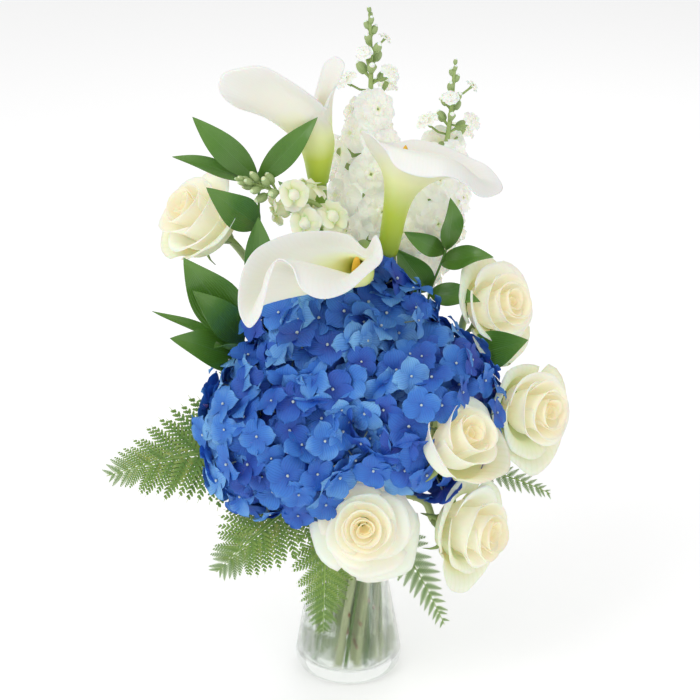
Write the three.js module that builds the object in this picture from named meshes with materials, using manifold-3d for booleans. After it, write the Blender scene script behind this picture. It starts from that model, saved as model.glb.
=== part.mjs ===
// Hydrangeas, roses, callas and greens standing in a clear glass gathering vase.
// Millimetres, +Z up. The origin is the centre of the vase's foot, on the surface it stands on.
// +X is to the right and -Y is the front of the arrangement.
import * as THREE from 'three';
import { ParametricGeometry } from 'three/addons/geometries/ParametricGeometry.js';
import { mergeVertices } from 'three/addons/utils/BufferGeometryUtils.js';
import Module from 'manifold-3d';

const wasm = await Module();
wasm.setup();

// ---------------------------------------------------------------- driving sizes
const VASE_HEIGHT = 175;
const FOOT_RADIUS = 42; // flat ring that the vase stands on
const HEEL_RADIUS = 48.5; // widest part of the vase, just above the foot
const HEEL_HEIGHT = 12;
const NECK_RADIUS = 34;
const NECK_HEIGHT = 118;
const BODY_HEIGHT = NECK_HEIGHT - HEEL_HEIGHT;
const LIP_RADIUS = 42.5;
const GLASS_WALL = 3;
const FLOOR_THICKNESS = 12;
const WATER_DEPTH = 34;
const VASE_SIDES = 32;
const CLEARANCE = 0.3; // gap between pieces that rest on or pass each other

const HYDRANGEA_RADIUS = 75; // half the width of one flower head
const HYDRANGEA_RISE = 66; // from the middle of a head to its crown
const ROSE_RADIUS = 40; // radius of an open rose, before each rose's own scale
const ROSE_DEPTH = 56; // from the seat on its stem to the top petals
const PETAL_THICKNESS = 1.6;
const LEAF_THICKNESS = 1.4;
const SPADIX_RADIUS = 3.5;

const HYDRANGEA_STEM_RADIUS = 4.5;
const ROSE_STEM_RADIUS = 3.4;
const CALLA_STEM_RADIUS = 6.8;
const STOCK_STEM_RADIUS = 4.2;
const SNAPDRAGON_STEM_RADIUS = 3.2;
const SPRIG_STEM_RADIUS = 1.8;
const FERN_STEM_RADIUS = 1.5;
const FERN_STEM_STEPS = 14; // enough for a fern stem to bend over the lip without cutting it

const FERN_OVERLAP = 7; // length of a frond's blade that runs down beside its stalk's end
const STEM_TWIST = -Math.PI / 6; // how far the bundle turns from the neck down to the floor
const STEM_SPREAD_AT_FOOT = 1.15;
const STEM_SPREAD_AT_LIP = 1.15;
const BORE_AT_REFERENCE = 31; // inner neck radius that the stem places are written for

// ---------------------------------------------------------------- small helpers
const vector = (x, y, z) => new THREE.Vector3(x, y, z);
// A place in the bouquet, with its height given above the vase's lip.
const place = (x, y, aboveLip) => vector(x, y, VASE_HEIGHT + aboveLip);

// Merges a geometry's shared corners, drops empty triangles and makes a solid that faces out.
function solidOf(geometry) {
  const bare = geometry.index ? geometry.toNonIndexed() : geometry.clone();
  bare.deleteAttribute('normal');
  bare.deleteAttribute('uv');
  const merged = mergeVertices(bare, 1e-3);
  const corners = merged.attributes.position;
  const kept = [];
  let volume = 0;
  for (let i = 0; i < merged.index.count; i += 3) {
    const [a, b, c] = [0, 1, 2].map((k) => merged.index.getX(i + k));
    if (a === b || b === c || c === a) continue;
    kept.push([a, b, c]);
    const [p, q, r] = [a, b, c].map((k) => vector().fromBufferAttribute(corners, k));
    volume += p.dot(q.cross(r));
  }
  const faces = volume < 0 ? kept.map(([a, b, c]) => [a, c, b]) : kept;
  return new wasm.Manifold(new wasm.Mesh({
    numProp: 3,
    vertProperties: new Float32Array(corners.array),
    triVerts: new Uint32Array(faces.flat()),
  }));
}

const joined = (solids) => solids.reduce((whole, next) => whole.add(next));

function largestPiece(solid) {
  return solid.decompose().reduce((best, next) => (next.volume() > best.volume() ? next : best));
}

// A closed skin of rings: pointOn(turn, station) with turn 0 to 1 around and station 0 to
// stations along. The first and the last station must each be a single point.
function skin(pointOn, around, stations) {
  const surface = (turn, along, target) => {
    target.copy(pointOn(turn % 1, Math.round(along * stations)));
  };
  return solidOf(new ParametricGeometry(surface, around, stations));
}

// Two directions square to an axis, the first as near to sideways as it can be.
function crossAxes(axis) {
  const reference = Math.abs(axis.z) < 0.95 ? vector(0, 0, 1) : vector(0, 1, 0);
  const side = vector().crossVectors(reference, axis).normalize();
  const other = vector().crossVectors(axis, side).normalize();
  return { side, other };
}

function pointOnCircle(centre, axis, radius, turn) {
  const { side, other } = crossAxes(axis);
  const angle = turn * Math.PI * 2;
  return centre.clone()
    .addScaledVector(side, radius * Math.cos(angle))
    .addScaledVector(other, radius * Math.sin(angle));
}

function sectionShape(radius, sides) {
  const corners = [];
  for (let i = 0; i < sides; i += 1) {
    const angle = (i / sides) * Math.PI * 2;
    corners.push(new THREE.Vector2(radius * Math.cos(angle), radius * Math.sin(angle)));
  }
  return new THREE.Shape(corners);
}

function tube(points, radius, sides, steps) {
  const extrudePath = new THREE.CatmullRomCurve3(points, false, 'centripetal');
  return solidOf(new THREE.ExtrudeGeometry(sectionShape(radius, sides), {
    steps, extrudePath, bevelEnabled: false,
  }));
}

// ---------------------------------------------------------------- vase and water
function vaseOutline() {
  return new THREE.SplineCurve([
    new THREE.Vector2(HEEL_RADIUS, HEEL_HEIGHT),
    new THREE.Vector2((HEEL_RADIUS + NECK_RADIUS) / 2 + 2.6, HEEL_HEIGHT + BODY_HEIGHT * 0.27),
    new THREE.Vector2(NECK_RADIUS + 2.9, HEEL_HEIGHT + BODY_HEIGHT * 0.66),
    new THREE.Vector2(NECK_RADIUS, NECK_HEIGHT),
    new THREE.Vector2((NECK_RADIUS + LIP_RADIUS) / 2 - 1.2, (NECK_HEIGHT + VASE_HEIGHT) / 2),
    new THREE.Vector2(LIP_RADIUS, VASE_HEIGHT),
  ]).getPoints(10);
}

function boreRadius(height) {
  const outline = vaseOutline();
  const upper = outline.findIndex((point) => point.y >= height);
  if (upper < 1) return (upper < 0 ? LIP_RADIUS : HEEL_RADIUS) - GLASS_WALL;
  const [low, high] = [outline[upper - 1], outline[upper]];
  const share = (height - low.y) / (high.y - low.y);
  return THREE.MathUtils.lerp(low.x, high.x, share) - GLASS_WALL;
}

function lathe(profile, segments) {
  const turned = new THREE.LatheGeometry(profile.map(([r, z]) => new THREE.Vector2(r, z)), segments);
  return solidOf(turned.rotateX(Math.PI / 2));
}

function makeVase() {
  const heelCorner = [(FOOT_RADIUS + HEEL_RADIUS) / 2 + 1.6, HEEL_HEIGHT * 0.33];
  const outside = vaseOutline().map((point) => [point.x, point.y]);
  const insideCorner = FLOOR_THICKNESS + 5;
  const inside = outside.filter(([, z]) => z > insideCorner + 2)
    .map(([r, z]) => [r - GLASS_WALL, z]).reverse();
  return lathe([
    [0, 0], [FOOT_RADIUS, 0], heelCorner, ...outside, ...inside,
    [boreRadius(insideCorner) - 0.5, insideCorner],
    [boreRadius(insideCorner) - 4, FLOOR_THICKNESS], [0, FLOOR_THICKNESS],
  ], VASE_SIDES);
}

function makeWater() {
  const bottom = FLOOR_THICKNESS + CLEARANCE;
  const level = FLOOR_THICKNESS + WATER_DEPTH;
  const corner = FLOOR_THICKNESS + 5;
  return lathe([
    [0, bottom], [boreRadius(corner) - 5, bottom], [boreRadius(corner) - 1.4, corner],
    [boreRadius((corner + level) / 2) - 2 * CLEARANCE, (corner + level) / 2],
    [boreRadius(level) - 2 * CLEARANCE, level], [0, level],
  ], VASE_SIDES);
}

// ---------------------------------------------------------------- stems
const STEM_END = -0.06; // where a stem's path starts below the floor, to be cut flat on it
const LIP_MARGIN = 3; // how far below the rim of the vase a stem passes the lip

// Each stem has its own place in the neck. Below it the bundle turns and spreads to the floor.
function stemPath(slot, route, radius) {
  const beside = radius + CLEARANCE; // how near the glass the middle of the stem may come
  const scale = (NECK_RADIUS - GLASS_WALL - beside) / (BORE_AT_REFERENCE - beside);
  const neck = new THREE.Vector2(slot[0], slot[1]).multiplyScalar(scale);
  const foot = neck.clone().rotateAround(new THREE.Vector2(), STEM_TWIST)
    .multiplyScalar(STEM_SPREAD_AT_FOOT);
  const lip = neck.clone().multiplyScalar(STEM_SPREAD_AT_LIP);
  const neckPoint = vector(neck.x, neck.y, NECK_HEIGHT);
  const footPoint = vector(foot.x, foot.y, FLOOR_THICKNESS);
  const lipPoint = vector(lip.x, lip.y, VASE_HEIGHT - LIP_MARGIN);
  return [footPoint.clone().lerp(neckPoint, STEM_END), footPoint.clone().lerp(neckPoint, 0.5),
    neckPoint, neckPoint.clone().lerp(lipPoint, 0.5), lipPoint, ...route];
}

function stem(slot, route, radius, sides, steps) {
  return (grow) => tube(stemPath(slot, route, radius), radius + grow, sides, steps)
    .trimByPlane([0, 0, 1], FLOOR_THICKNESS + CLEARANCE - grow);
}

// ---------------------------------------------------------------- flower shapes
const HEAD_UNDERSIDE = 0.12; // how far below its middle a head is cut flat, as a share of its rise

// A hydrangea head: a dome about its axis, flattened underneath where its branches meet.
function hydrangeaHead({ centre, axis, width, rise }) {
  const stations = 7;
  return (grow) => skin((turn, station) => {
    const height = HYDRANGEA_RISE * rise + grow;
    if (station === 0) return centre.clone().addScaledVector(axis, -HEAD_UNDERSIDE * height);
    const start = Math.asin(-HEAD_UNDERSIDE);
    const tilt = THREE.MathUtils.lerp(start, Math.PI / 2, (station - 1) / (stations - 1));
    const middle = centre.clone().addScaledVector(axis, height * Math.sin(tilt));
    return pointOnCircle(middle, axis, (HYDRANGEA_RADIUS * width + grow) * Math.cos(tilt), turn);
  }, 18, stations);
}

// A rose bloom, as shares of its depth and of its radius from the seat to the top.
const ROSE_PROFILE = [
  [0, 0], [0, 0.2], [0.14, 0.56], [0.36, 0.92], [0.6, 1], [0.8, 0.86], [0.95, 0.52], [1, 0],
];
const ROSE_LOBES = 4;

function roseBloom(heart, axis, scale) {
  const radius = ROSE_RADIUS * scale;
  const depth = ROSE_DEPTH * scale;
  const seat = heart.clone().addScaledVector(axis, -depth / 2);
  return (grow) => skin((turn, station) => {
    const [rise, share] = ROSE_PROFILE[station];
    const lobes = 1 + 0.05 * Math.cos(turn * Math.PI * 2 * ROSE_LOBES);
    const lift = rise * depth + grow * (rise * 2 - 1);
    const middle = seat.clone().addScaledVector(axis, lift);
    return pointOnCircle(middle, axis, share * radius * lobes + (share > 0 ? grow : 0), turn);
  }, 16, ROSE_PROFILE.length - 1);
}

// A sleeve or tuft of small blossoms along an axis, from one point to another.
function blossomTuft(from, to, radius) {
  const axis = to.clone().sub(from).normalize();
  const stations = 6;
  return (grow) => skin((turn, station) => {
    const along = station / stations;
    const middle = from.clone().lerp(to, along).addScaledVector(axis, grow * (along * 2 - 1));
    const ruffle = 1 + 0.1 * Math.cos(turn * Math.PI * 8 + station * 2);
    const swell = Math.sin(Math.PI * along) ** 0.6;
    return pointOnCircle(middle, axis, (radius * ruffle + grow) * swell, turn);
  }, 12, stations);
}

// A calla spathe: one petal wrapped into a funnel that opens over a crest to its rim.
function callaSpathe(flower) {
  const rim = new THREE.CatmullRomCurve3(flower.rim, true, 'centripetal');
  const crest = new THREE.CatmullRomCurve3(flower.crest, true, 'centripetal');
  const slices = 24;
  const rows = 6;
  const lean = 0.6;
  const baseAxis = flower.throat.clone().sub(flower.base).normalize();
  const opening = flower.crest.reduce((sum, point) => sum.add(point), vector())
    .divideScalar(flower.crest.length).sub(flower.throat).normalize();
  const throatAxis = baseAxis.clone().addScaledVector(opening, lean).normalize();
  const toRim = flower.rim[0].clone().sub(flower.throat);
  const ringPoint = (centre, axis, radius, turn) => {
    const start = toRim.clone().addScaledVector(axis, -toRim.dot(axis)).normalize();
    const angle = turn * Math.PI * 2;
    return centre.clone().addScaledVector(start, radius * Math.cos(angle))
      .addScaledVector(vector().crossVectors(axis, start), radius * Math.sin(angle));
  };
  const outer = (turn, along) => {
    const wall = new THREE.CatmullRomCurve3([
      ringPoint(flower.base, baseAxis, CALLA_STEM_RADIUS + 1, turn),
      ringPoint(flower.throat, throatAxis, flower.throatRadius, turn),
      crest.getPoint(turn % 1),
      rim.getPoint(turn % 1),
    ], false, 'centripetal');
    return wall.getPoint(along);
  };
  const inwards = (turn, along) => {
    const step = 0.01;
    const across = outer((turn + step) % 1, along).sub(outer((turn + 1 - step) % 1, along));
    const up = outer(turn, Math.min(along + step, 1)).sub(outer(turn, Math.max(along - step, 0)));
    return up.cross(across).normalize();
  };
  return (grow) => skin((turn, station) => {
    if (station === 0) return flower.base.clone().addScaledVector(baseAxis, -grow);
    if (station <= rows + 1) {
      const along = (station - 1) / rows;
      return outer(turn, along).addScaledVector(inwards(turn, along), -grow);
    }
    if (station <= rows * 2 + 1) {
      const along = (rows * 2 + 2 - station) / rows;
      return outer(turn, along).addScaledVector(inwards(turn, along), PETAL_THICKNESS + grow);
    }
    return flower.base.clone().addScaledVector(baseAxis, CALLA_STEM_RADIUS + grow);
  }, slices, rows * 2 + 2);
}

function callaSpadix(flower) {
  const funnelAxis = flower.throat.clone().sub(flower.base).normalize();
  const seat = flower.base.clone().addScaledVector(funnelAxis, CALLA_STEM_RADIUS);
  return (grow) => tube([seat, flower.throat, flower.spadixTip], SPADIX_RADIUS + grow, 7, 5);
}

// ---------------------------------------------------------------- leaves and ferns
// A leaf blade with a lens section. It leaves the stem at base, bows up by rise on its way to
// the tip, and its upper side looks towards facing.
function leafBlade({ base, tip, width, rise = 0, facing = [0, -1, 0.4], outline = leafOutline }) {
  const spineAxis = tip.clone().sub(base).normalize();
  const look = vector(...facing).normalize();
  const side = vector().crossVectors(spineAxis, look).normalize();
  const upper = vector().crossVectors(side, spineAxis).normalize();
  const bend = base.clone().lerp(tip, 0.5).addScaledVector(upper, rise * 2);
  const spine = new THREE.QuadraticBezierCurve3(base, bend, tip);
  return (grow) => skin((turn, station) => {
    const { along, share } = outline.at(station);
    const middle = spine.getPoint(along);
    const corner = Math.round(turn * 4) % 4;
    const half = share > 0 ? (share * width) / 2 + grow : 0;
    const thick = share > 0 ? LEAF_THICKNESS / 2 + grow : 0;
    const fold = half * 0.14;
    if (corner === 0) return middle.addScaledVector(side, half).addScaledVector(upper, fold);
    if (corner === 2) return middle.addScaledVector(side, -half).addScaledVector(upper, fold);
    return middle.addScaledVector(upper, corner === 1 ? thick : -thick);
  }, 4, outline.stations);
}

// A pointed oval: the share of the full width at each station along the blade.
const leafOutline = {
  stations: 7,
  at(station) {
    const along = station / this.stations;
    const inside = station > 0 && station < this.stations;
    return { along, share: inside ? Math.sin(Math.PI * along ** 0.85) ** 0.8 : 0 };
  },
};

// A fern frond: its two edges step out and in with every pair of pinnae.
const fernOutline = {
  stations: 19,
  at(station) {
    const along = station / this.stations;
    const taper = Math.min(1, along * 6) * (1 - along) ** 0.7;
    const notch = station % 2 === 0 ? 0.42 : 1;
    const inside = station > 0 && station < this.stations;
    return { along, share: inside ? taper * notch + 0.03 : 0 };
  },
};

// Blades, and the buds with them, whose bases sit in one stem, as the parts of one sprig.
const sprigBlades = (blades) => (grow) => joined(blades.map((blade) => leafBlade(blade)(grow)));

function budCluster(centres, radius) {
  return (grow) => joined(centres.map((centre) => {
    const bud = new THREE.IcosahedronGeometry(radius + grow, 0);
    bud.translate(centre.x, centre.y, centre.z);
    return solidOf(bud);
  }));
}

// Bud places that climb a stem's tip in a spiral, close enough to sit on it.
function spiralOfBuds(from, to, count, reach) {
  const axis = to.clone().sub(from).normalize();
  return Array.from({ length: count }, (_, i) => {
    const along = i / (count - 1);
    const out = reach * (1 - 0.6 * along);
    return pointOnCircle(from.clone().lerp(to, along), axis, out, i * 0.38);
  });
}

// ---------------------------------------------------------------- the arrangement
const unit = (x, y, z) => vector(x, y, z).normalize();

const HYDRANGEAS = {
  top: { centre: place(-1, -24, 150), axis: unit(0.08, -0.35, 0.93), width: 1.04, rise: 0.86,
    slot: [-1, -13], route: [place(0, -8, 55)] },
  left: { centre: place(-51, -42, 80), axis: unit(-0.45, -0.6, 0.66), width: 1, rise: 1.04,
    slot: [-13, -8], route: [place(-21, -9, 30)] },
  right: { centre: place(54, -42, 101), axis: unit(0.45, -0.6, 0.66), width: 0.97, rise: 1,
    slot: [11, -3], route: [place(21, -8, 36)] },
};

const ROSES = {
  front: { heart: place(13, -92, 10), axis: unit(0, -0.93, 0.36), scale: 1.2, slot: [6, -26],
    route: [place(8, -37, 9), place(12, -48, 10)], approach: place(15, -57, 3) },
  lower_right: { heart: place(106, -66, -6), axis: unit(0.75, -0.6, 0.1), scale: 1.12,
    slot: [18, -19], route: [place(30, -26, 8), place(47, -34, 12), place(66, -43, 9)] },
  right: { heart: place(158, -25, 87), axis: unit(0.65, -0.7, 0.25), scale: 1.1,
    slot: [25, -4], route: [place(50, -6, 25), place(100, -6, 52)] },
  middle_right: { heart: place(90, -95, 91), axis: unit(0.55, -0.5, 0.65), scale: 1.05,
    slot: [12, -14], route: [place(16, -21, 14), place(42, -52, 34), place(64, -76, 52)] },
  upper_right: { heart: place(129, 20, 166), axis: unit(0.6, -0.6, 0.4), scale: 1.05,
    slot: [24, 9], route: [place(52, 26, 45), place(92, 34, 110)] },
  left: { heart: place(-126, 18, 246), axis: unit(-0.6, -0.35, 0.6), scale: 1.05,
    slot: [-19, 14], route: [place(-32, 38, 65), place(-60, 42, 145), place(-86, 36, 200)] },
};

const CALLAS = {
  left: {
    slot: [-8, 18], route: [place(-12, 38, 65), place(-21, 48, 155), place(-24, 36, 225)],
    base: place(-25, 26, 275), throat: place(-27, 22, 312), throatRadius: 15,
    spadixTip: place(-30, 21, 326),
    crest: [place(-20, 22, 338), place(-12, 24, 353), place(-16, 27, 357), place(-22, 28, 353),
      place(-26, 29, 342), place(-30, 31, 329), place(-41, 29, 317), place(-55, 26, 326),
      place(-67, 21, 331), place(-75, 13, 342), place(-74, 8, 354), place(-64, 5, 358),
      place(-53, 3, 359), place(-41, 3, 353), place(-31, 6, 346), place(-25, 11, 339),
      place(-21, 16, 335)],
    rim: [place(-15, 22, 350), place(-3, 26, 375), place(-10, 30, 381), place(-19, 32, 375),
      place(-25, 34, 357), place(-32, 36, 336), place(-50, 34, 319), place(-72, 28, 333),
      place(-92, 20, 341), place(-105, 8, 358), place(-102, 0, 373), place(-87, -6, 380),
      place(-69, -8, 382), place(-50, -8, 372), place(-34, -4, 360), place(-23, 4, 349),
      place(-18, 12, 342)],
  },
  right: {
    slot: [10.5, 10], route: [place(22, 25, 65), place(34, 44, 150), place(35, 34, 188)],
    base: place(33, 16, 215), throat: place(44, 2, 280), throatRadius: 15,
    spadixTip: place(47, -3, 315),
    crest: [place(16, 4, 312), place(20, -7, 319), place(29, -16, 320), place(39, -24, 319),
      place(51, -29, 318), place(65, -33, 317), place(78, -36, 315), place(89, -36, 310),
      place(98, -33, 302), place(105, -28, 295), place(106, -20, 292), place(98, -8, 293),
      place(85, 3, 296), place(69, 11, 300), place(53, 13, 302), place(40, 12, 302),
      place(26, 9, 308)],
    rim: [place(11, 0, 326), place(17, -10, 327), place(29, -22, 318), place(38, -32, 306),
      place(49, -40, 302), place(64, -46, 301), place(80, -50, 303), place(92, -50, 298),
      place(104, -46, 286), place(114, -38, 282), place(126, -22, 284), place(116, -4, 296),
      place(102, 10, 300), place(81, 20, 307), place(55, 24, 312), place(38, 18, 311),
      place(23, 8, 317)],
  },
  front: {
    slot: [-3, 3],
    route: [place(-2, 19, 55), place(-2, 43, 148), place(7, 43, 196), place(13, 19, 219)],
    base: place(12, -22, 220), throat: place(6, -74, 231), throatRadius: 12,
    spadixTip: place(7, -84, 247),
    crest: [place(18, -78, 245), place(13, -70, 242), place(3, -62, 245), place(-8, -60, 247),
      place(-21, -64, 249), place(-37, -72, 250), place(-49, -80, 248), place(-62, -88, 245),
      place(-71, -96, 238), place(-77, -102, 227), place(-79, -108, 216), place(-76, -112, 212),
      place(-72, -114, 220), place(-67, -114, 231), place(-62, -112, 246), place(-54, -106, 252),
      place(-44, -108, 253), place(-34, -110, 248), place(-20, -112, 240), place(-6, -108, 236),
      place(6, -98, 241), place(14, -86, 245)],
    rim: [place(22, -80, 264), place(14, -70, 249), place(2, -60, 256), place(-10, -60, 260),
      place(-24, -64, 262), place(-45, -72, 263), place(-62, -82, 260), place(-74, -92, 255),
      place(-82, -100, 244), place(-86, -108, 228), place(-85, -116, 211), place(-78, -122, 202),
      place(-70, -124, 211), place(-65, -124, 228), place(-60, -122, 247), place(-54, -116, 257),
      place(-44, -118, 252), place(-36, -122, 234), place(-21, -124, 227), place(-2, -118, 230),
      place(14, -106, 240), place(27, -92, 249)],
  },
};

const STOCKS = {
  left: {
    slot: [3.5, 25.5], route: [place(8, 48, 65), place(12, 66, 155), place(15, 70, 240)],
    budsFrom: place(19, 64, 350), tip: place(18, 60, 409),
    blossomsFrom: place(13, 68, 168), blossomsTo: place(18, 66, 335), blossomRadius: 34,
  },
  right: {
    slot: [15.5, 21], route: [place(32, 45, 65), place(53, 61, 155), place(71, 60, 229)],
    budsFrom: place(85, 57, 310), tip: place(89, 55, 366),
    blossomsFrom: place(56, 61, 168), blossomsTo: place(82, 58, 298), blossomRadius: 33,
  },
};

const SNAPDRAGON = {
  slot: [-16, 4], route: [place(-28, 18, 65), place(-30, 28, 150), place(-16, 16, 206),
    place(-11, 2, 238), place(-24, -6, 264), place(-51, -10, 275)],
  tip: place(-86, -16, 289),
  blossomsFrom: place(-4, 6, 222), blossomsTo: place(-48, -6, 274), blossomRadius: 20,
};

const leaf = (base, tip, width, rise, facing) => ({
  base: place(...base), tip: place(...tip), width, rise, facing,
});

const SPRIGS = {
  ruscus_upper_left: {
    slot: [-23, 9], route: [place(-46, 26, 65), place(-68, 14, 140), place(-75, -2, 185),
      place(-75, 2, 230), place(-74, 4, 290)],
    leaves: [
      leaf([-75, 3, 284], [-128, 8, 336], 24, 5, [-0.2, -1, 0.5]),
      leaf([-75, 3, 281], [-145, 3, 304], 15, 4, [0, -0.8, 0.8]),
      leaf([-75, 3, 282], [-25, 3, 337], 22, 4, [0.2, -1, 0.4]),
      leaf([-75, 2, 244], [-114, -34, 288], 30, 6, [-0.2, -1, 0.5]),
      leaf([-75, 0.4, 190], [-74, -16, 258], 26, 5, [0.1, -1, 0.3]),
    ],
  },
  ruscus_left: {
    slot: [-26, 1], route: [place(-52, 16, 60), place(-80, 10, 105), place(-92, 0, 150)],
    leaves: [
      leaf([-92, 0, 149], [-137, -16, 222], 42, 6, [-0.1, -1, 0.5]),
      leaf([-90, 2, 139], [-128, -28, 197], 30, 5, [0.2, -1, 0.6]),
      leaf([-84, 8, 117], [-149, -28, 155], 36, 6, [-0.3, -0.8, 0.7]),
      leaf([-88, 4, 132], [-167, 4, 167], 10, 3, [0, -0.8, 0.8]),
      leaf([-86, 6, 126], [-112, -40, 152], 22, 3, [-0.4, -0.5, 1]),
    ],
  },
  ruscus_right: {
    slot: [21, 3], route: [place(42, 14, 65), place(62, 26, 135), place(71, 27, 178),
      place(77, 25, 196), place(84, 22, 218)],
    leaves: [
      leaf([83.5, 22, 216], [86, 14, 264], 22, 5, [0.5, -1, 0.4]),
      leaf([79, 24.3, 202], [122, 4, 216], 22, 6, [0.1, -0.8, 0.8]),
      leaf([82.5, 22.6, 212], [47, 12, 235], 18, 4, [-0.2, -1, 0.4]),
      leaf([70.5, 27, 176], [41, 16, 219], 27, 5, [-0.2, -1, 0.4]),
      leaf([70, 27, 174], [112, 6, 175], 22, 5, [0.1, -0.9, 0.7]),
    ],
  },
  ruscus_far_right: {
    slot: [22, -9], route: [place(50, 2, 60), place(84, 18, 105), place(104, 12, 122)],
    leaves: [
      leaf([103, 12.3, 121], [152, -20, 150], 34, 5, [0.2, -1, 0.5]),
      leaf([96, 14.4, 115], [140, 4, 118], 18, 4, [0.3, -0.8, 0.8]),
    ],
  },
  ruscus_lower_right: {
    slot: [22.5, -15.5], route: [place(44, -28, 26), place(66, -58, 48)],
    leaves: [
      leaf([65, -57, 47], [79, -75, 45], 12, 3, [0.3, -0.6, 0.9]),
      leaf([64, -56, 46], [95, -76, 57], 12, 3, [0.2, -0.4, 1]),
    ],
  },
  ruscus_back: {
    slot: [-4, 27], route: [place(-10, 62, 65), place(-14, 88, 150), place(-10, 98, 230)],
    leaves: [
      leaf([-10, 97, 226], [4, 100, 300], 24, -5, [0, 1, 0.4]),
      leaf([-11, 96, 210], [-62, 100, 252], 26, -5, [-0.2, 1, 0.5]),
      leaf([-12, 94, 190], [42, 104, 226], 28, -5, [0.2, 1, 0.5]),
      leaf([-13, 88, 150], [-66, 100, 180], 28, -5, [-0.2, 1, 0.5]),
    ],
  },
};

const FERNS = {
  fern_far_left: { slot: [-25, -9], route: [place(-50, -10, 30), place(-86, -6, 46)],
    tip: place(-208, -36, 30), width: 94, rise: 10, facing: [-0.1, -0.8, 0.6] },
  fern_left: { slot: [-19, -18], route: [place(-28, -40, 12), place(-44, -58, 18)],
    tip: place(-112, -86, -36), width: 76, rise: 5, facing: [-0.3, -0.9, 0.4] },
  fern_front: { slot: [-11, -25], route: [place(-14, -41, 8), place(-17, -54, 5), place(-19, -62, -6)],
    tip: place(-22, -80, -99), width: 52, rise: 9, facing: [0, -1, 0.2] },
  fern_lower_right: { slot: [12, -26], route: [place(16, -36, 10), place(24, -44, 10), place(33, -49, 3),
    place(37, -53, -12)],
    tip: place(83, -78, -92), width: 44, rise: 9, facing: [0.3, -1, 0.4] },
  fern_right: { slot: [28, 2], route: [place(45, 4, 12), place(68, 4, 22), place(100, -6, 26)],
    tip: place(176, -22, 6), width: 30, rise: 5, facing: [0.2, -0.6, 0.9] },
  fern_back_left: { slot: [-15, 23.5], route: [place(-34, 52, 36), place(-44, 66, 52)],
    tip: place(-118, 92, 96), width: 78, rise: -8, facing: [-0.4, 1, 0.5] },
  fern_back_right: { slot: [10, 27], route: [place(30, 56, 36), place(42, 66, 52)],
    tip: place(112, 88, 92), width: 78, rise: -8, facing: [0.4, 1, 0.5] },
};

// ---------------------------------------------------------------- pieces in order
// A piece keeps clear of every piece of a lower rank, and of the earlier ones of its own rank.
// Stems (rank 1) are never cut: their places and routes lay them clear of each other and of the
// vase, and the build refuses them where they don't.
const RANK = { glass: 0, stem: 1, spadix: 2, petal: 3, head: 4, blossom: 5, foliage: 6 };

const FINISH = {
  glass: { color: 0xdfeee6, roughness: 0.05, metalness: 0, transparent: true, opacity: 0.35 },
  water: { color: 0xe6f2ea, roughness: 0.02, metalness: 0, transparent: true, opacity: 0.4 },
  blue: { color: 0x2f6fd0, roughness: 0.75, metalness: 0 },
  cream: { color: 0xf5f1dc, roughness: 0.6, metalness: 0 },
  white: { color: 0xf8f8f4, roughness: 0.5, metalness: 0 },
  yellow: { color: 0xf0c23c, roughness: 0.7, metalness: 0 },
  stem: { color: 0x9dbb6c, roughness: 0.55, metalness: 0 },
  leaf: { color: 0x3f7d33, roughness: 0.45, metalness: 0 },
  fern: { color: 0x6d9b45, roughness: 0.6, metalness: 0 },
};

const pieces = [];
const addPiece = (name, rank, finish, body, held) => pieces.push({ name, rank, finish, body, held });

function addHydrangea(name, flower) {
  const height = HYDRANGEA_RISE * flower.rise;
  const approach = flower.centre.clone().addScaledVector(flower.axis, -height * 0.5);
  addPiece(`hydrangea_stem_${name}`, RANK.stem, FINISH.stem,
    stem(flower.slot, [...flower.route, approach, flower.centre], HYDRANGEA_STEM_RADIUS, 8, 11));
  addPiece(`hydrangea_head_${name}`, RANK.head, FINISH.blue, hydrangeaHead(flower));
}

function addRose(name, flower) {
  const depth = ROSE_DEPTH * flower.scale;
  const seat = flower.heart.clone().addScaledVector(flower.axis, -depth / 2 + 6);
  const approach = flower.approach
    ?? flower.heart.clone().addScaledVector(flower.axis, -depth / 2 - 10);
  addPiece(`rose_stem_${name}`, RANK.stem, FINISH.stem,
    stem(flower.slot, [...flower.route, approach, seat], ROSE_STEM_RADIUS, 7, 11));
  addPiece(`rose_bloom_${name}`, RANK.petal, FINISH.cream,
    roseBloom(flower.heart, flower.axis, flower.scale));
}

function addCalla(name, flower) {
  const axis = flower.throat.clone().sub(flower.base).normalize();
  const end = flower.base.clone().addScaledVector(axis, -CLEARANCE);
  addPiece(`calla_stem_${name}`, RANK.stem, FINISH.stem,
    stem(flower.slot, [...flower.route, end], CALLA_STEM_RADIUS, 9, 14));
  addPiece(`calla_spadix_${name}`, RANK.spadix, FINISH.yellow, callaSpadix(flower));
  addPiece(`calla_spathe_${name}`, RANK.petal, FINISH.white, callaSpathe(flower));
}

function addStock(name, flower) {
  const stalk = stem(flower.slot, [...flower.route, flower.budsFrom, flower.tip],
    STOCK_STEM_RADIUS, 6, 12);
  const buds = budCluster(spiralOfBuds(flower.budsFrom, flower.tip, 6, 7), 5.5);
  addPiece(`stock_stem_${name}`, RANK.stem, FINISH.leaf, stalk, buds);
  addPiece(`stock_blossoms_${name}`, RANK.blossom, FINISH.white,
    blossomTuft(flower.blossomsFrom, flower.blossomsTo, flower.blossomRadius));
}

function addSnapdragon(flower) {
  const last = flower.route[flower.route.length - 1];
  const stalk = stem(flower.slot, [...flower.route, flower.tip], SNAPDRAGON_STEM_RADIUS, 6, 14);
  const buds = budCluster(spiralOfBuds(last.clone().lerp(flower.tip, 0.2), flower.tip, 5, 5), 5.5);
  addPiece('snapdragon_stem', RANK.stem, FINISH.leaf, stalk, buds);
  addPiece('snapdragon_blossoms', RANK.blossom, FINISH.cream,
    blossomTuft(flower.blossomsFrom, flower.blossomsTo, flower.blossomRadius));
}

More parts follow.
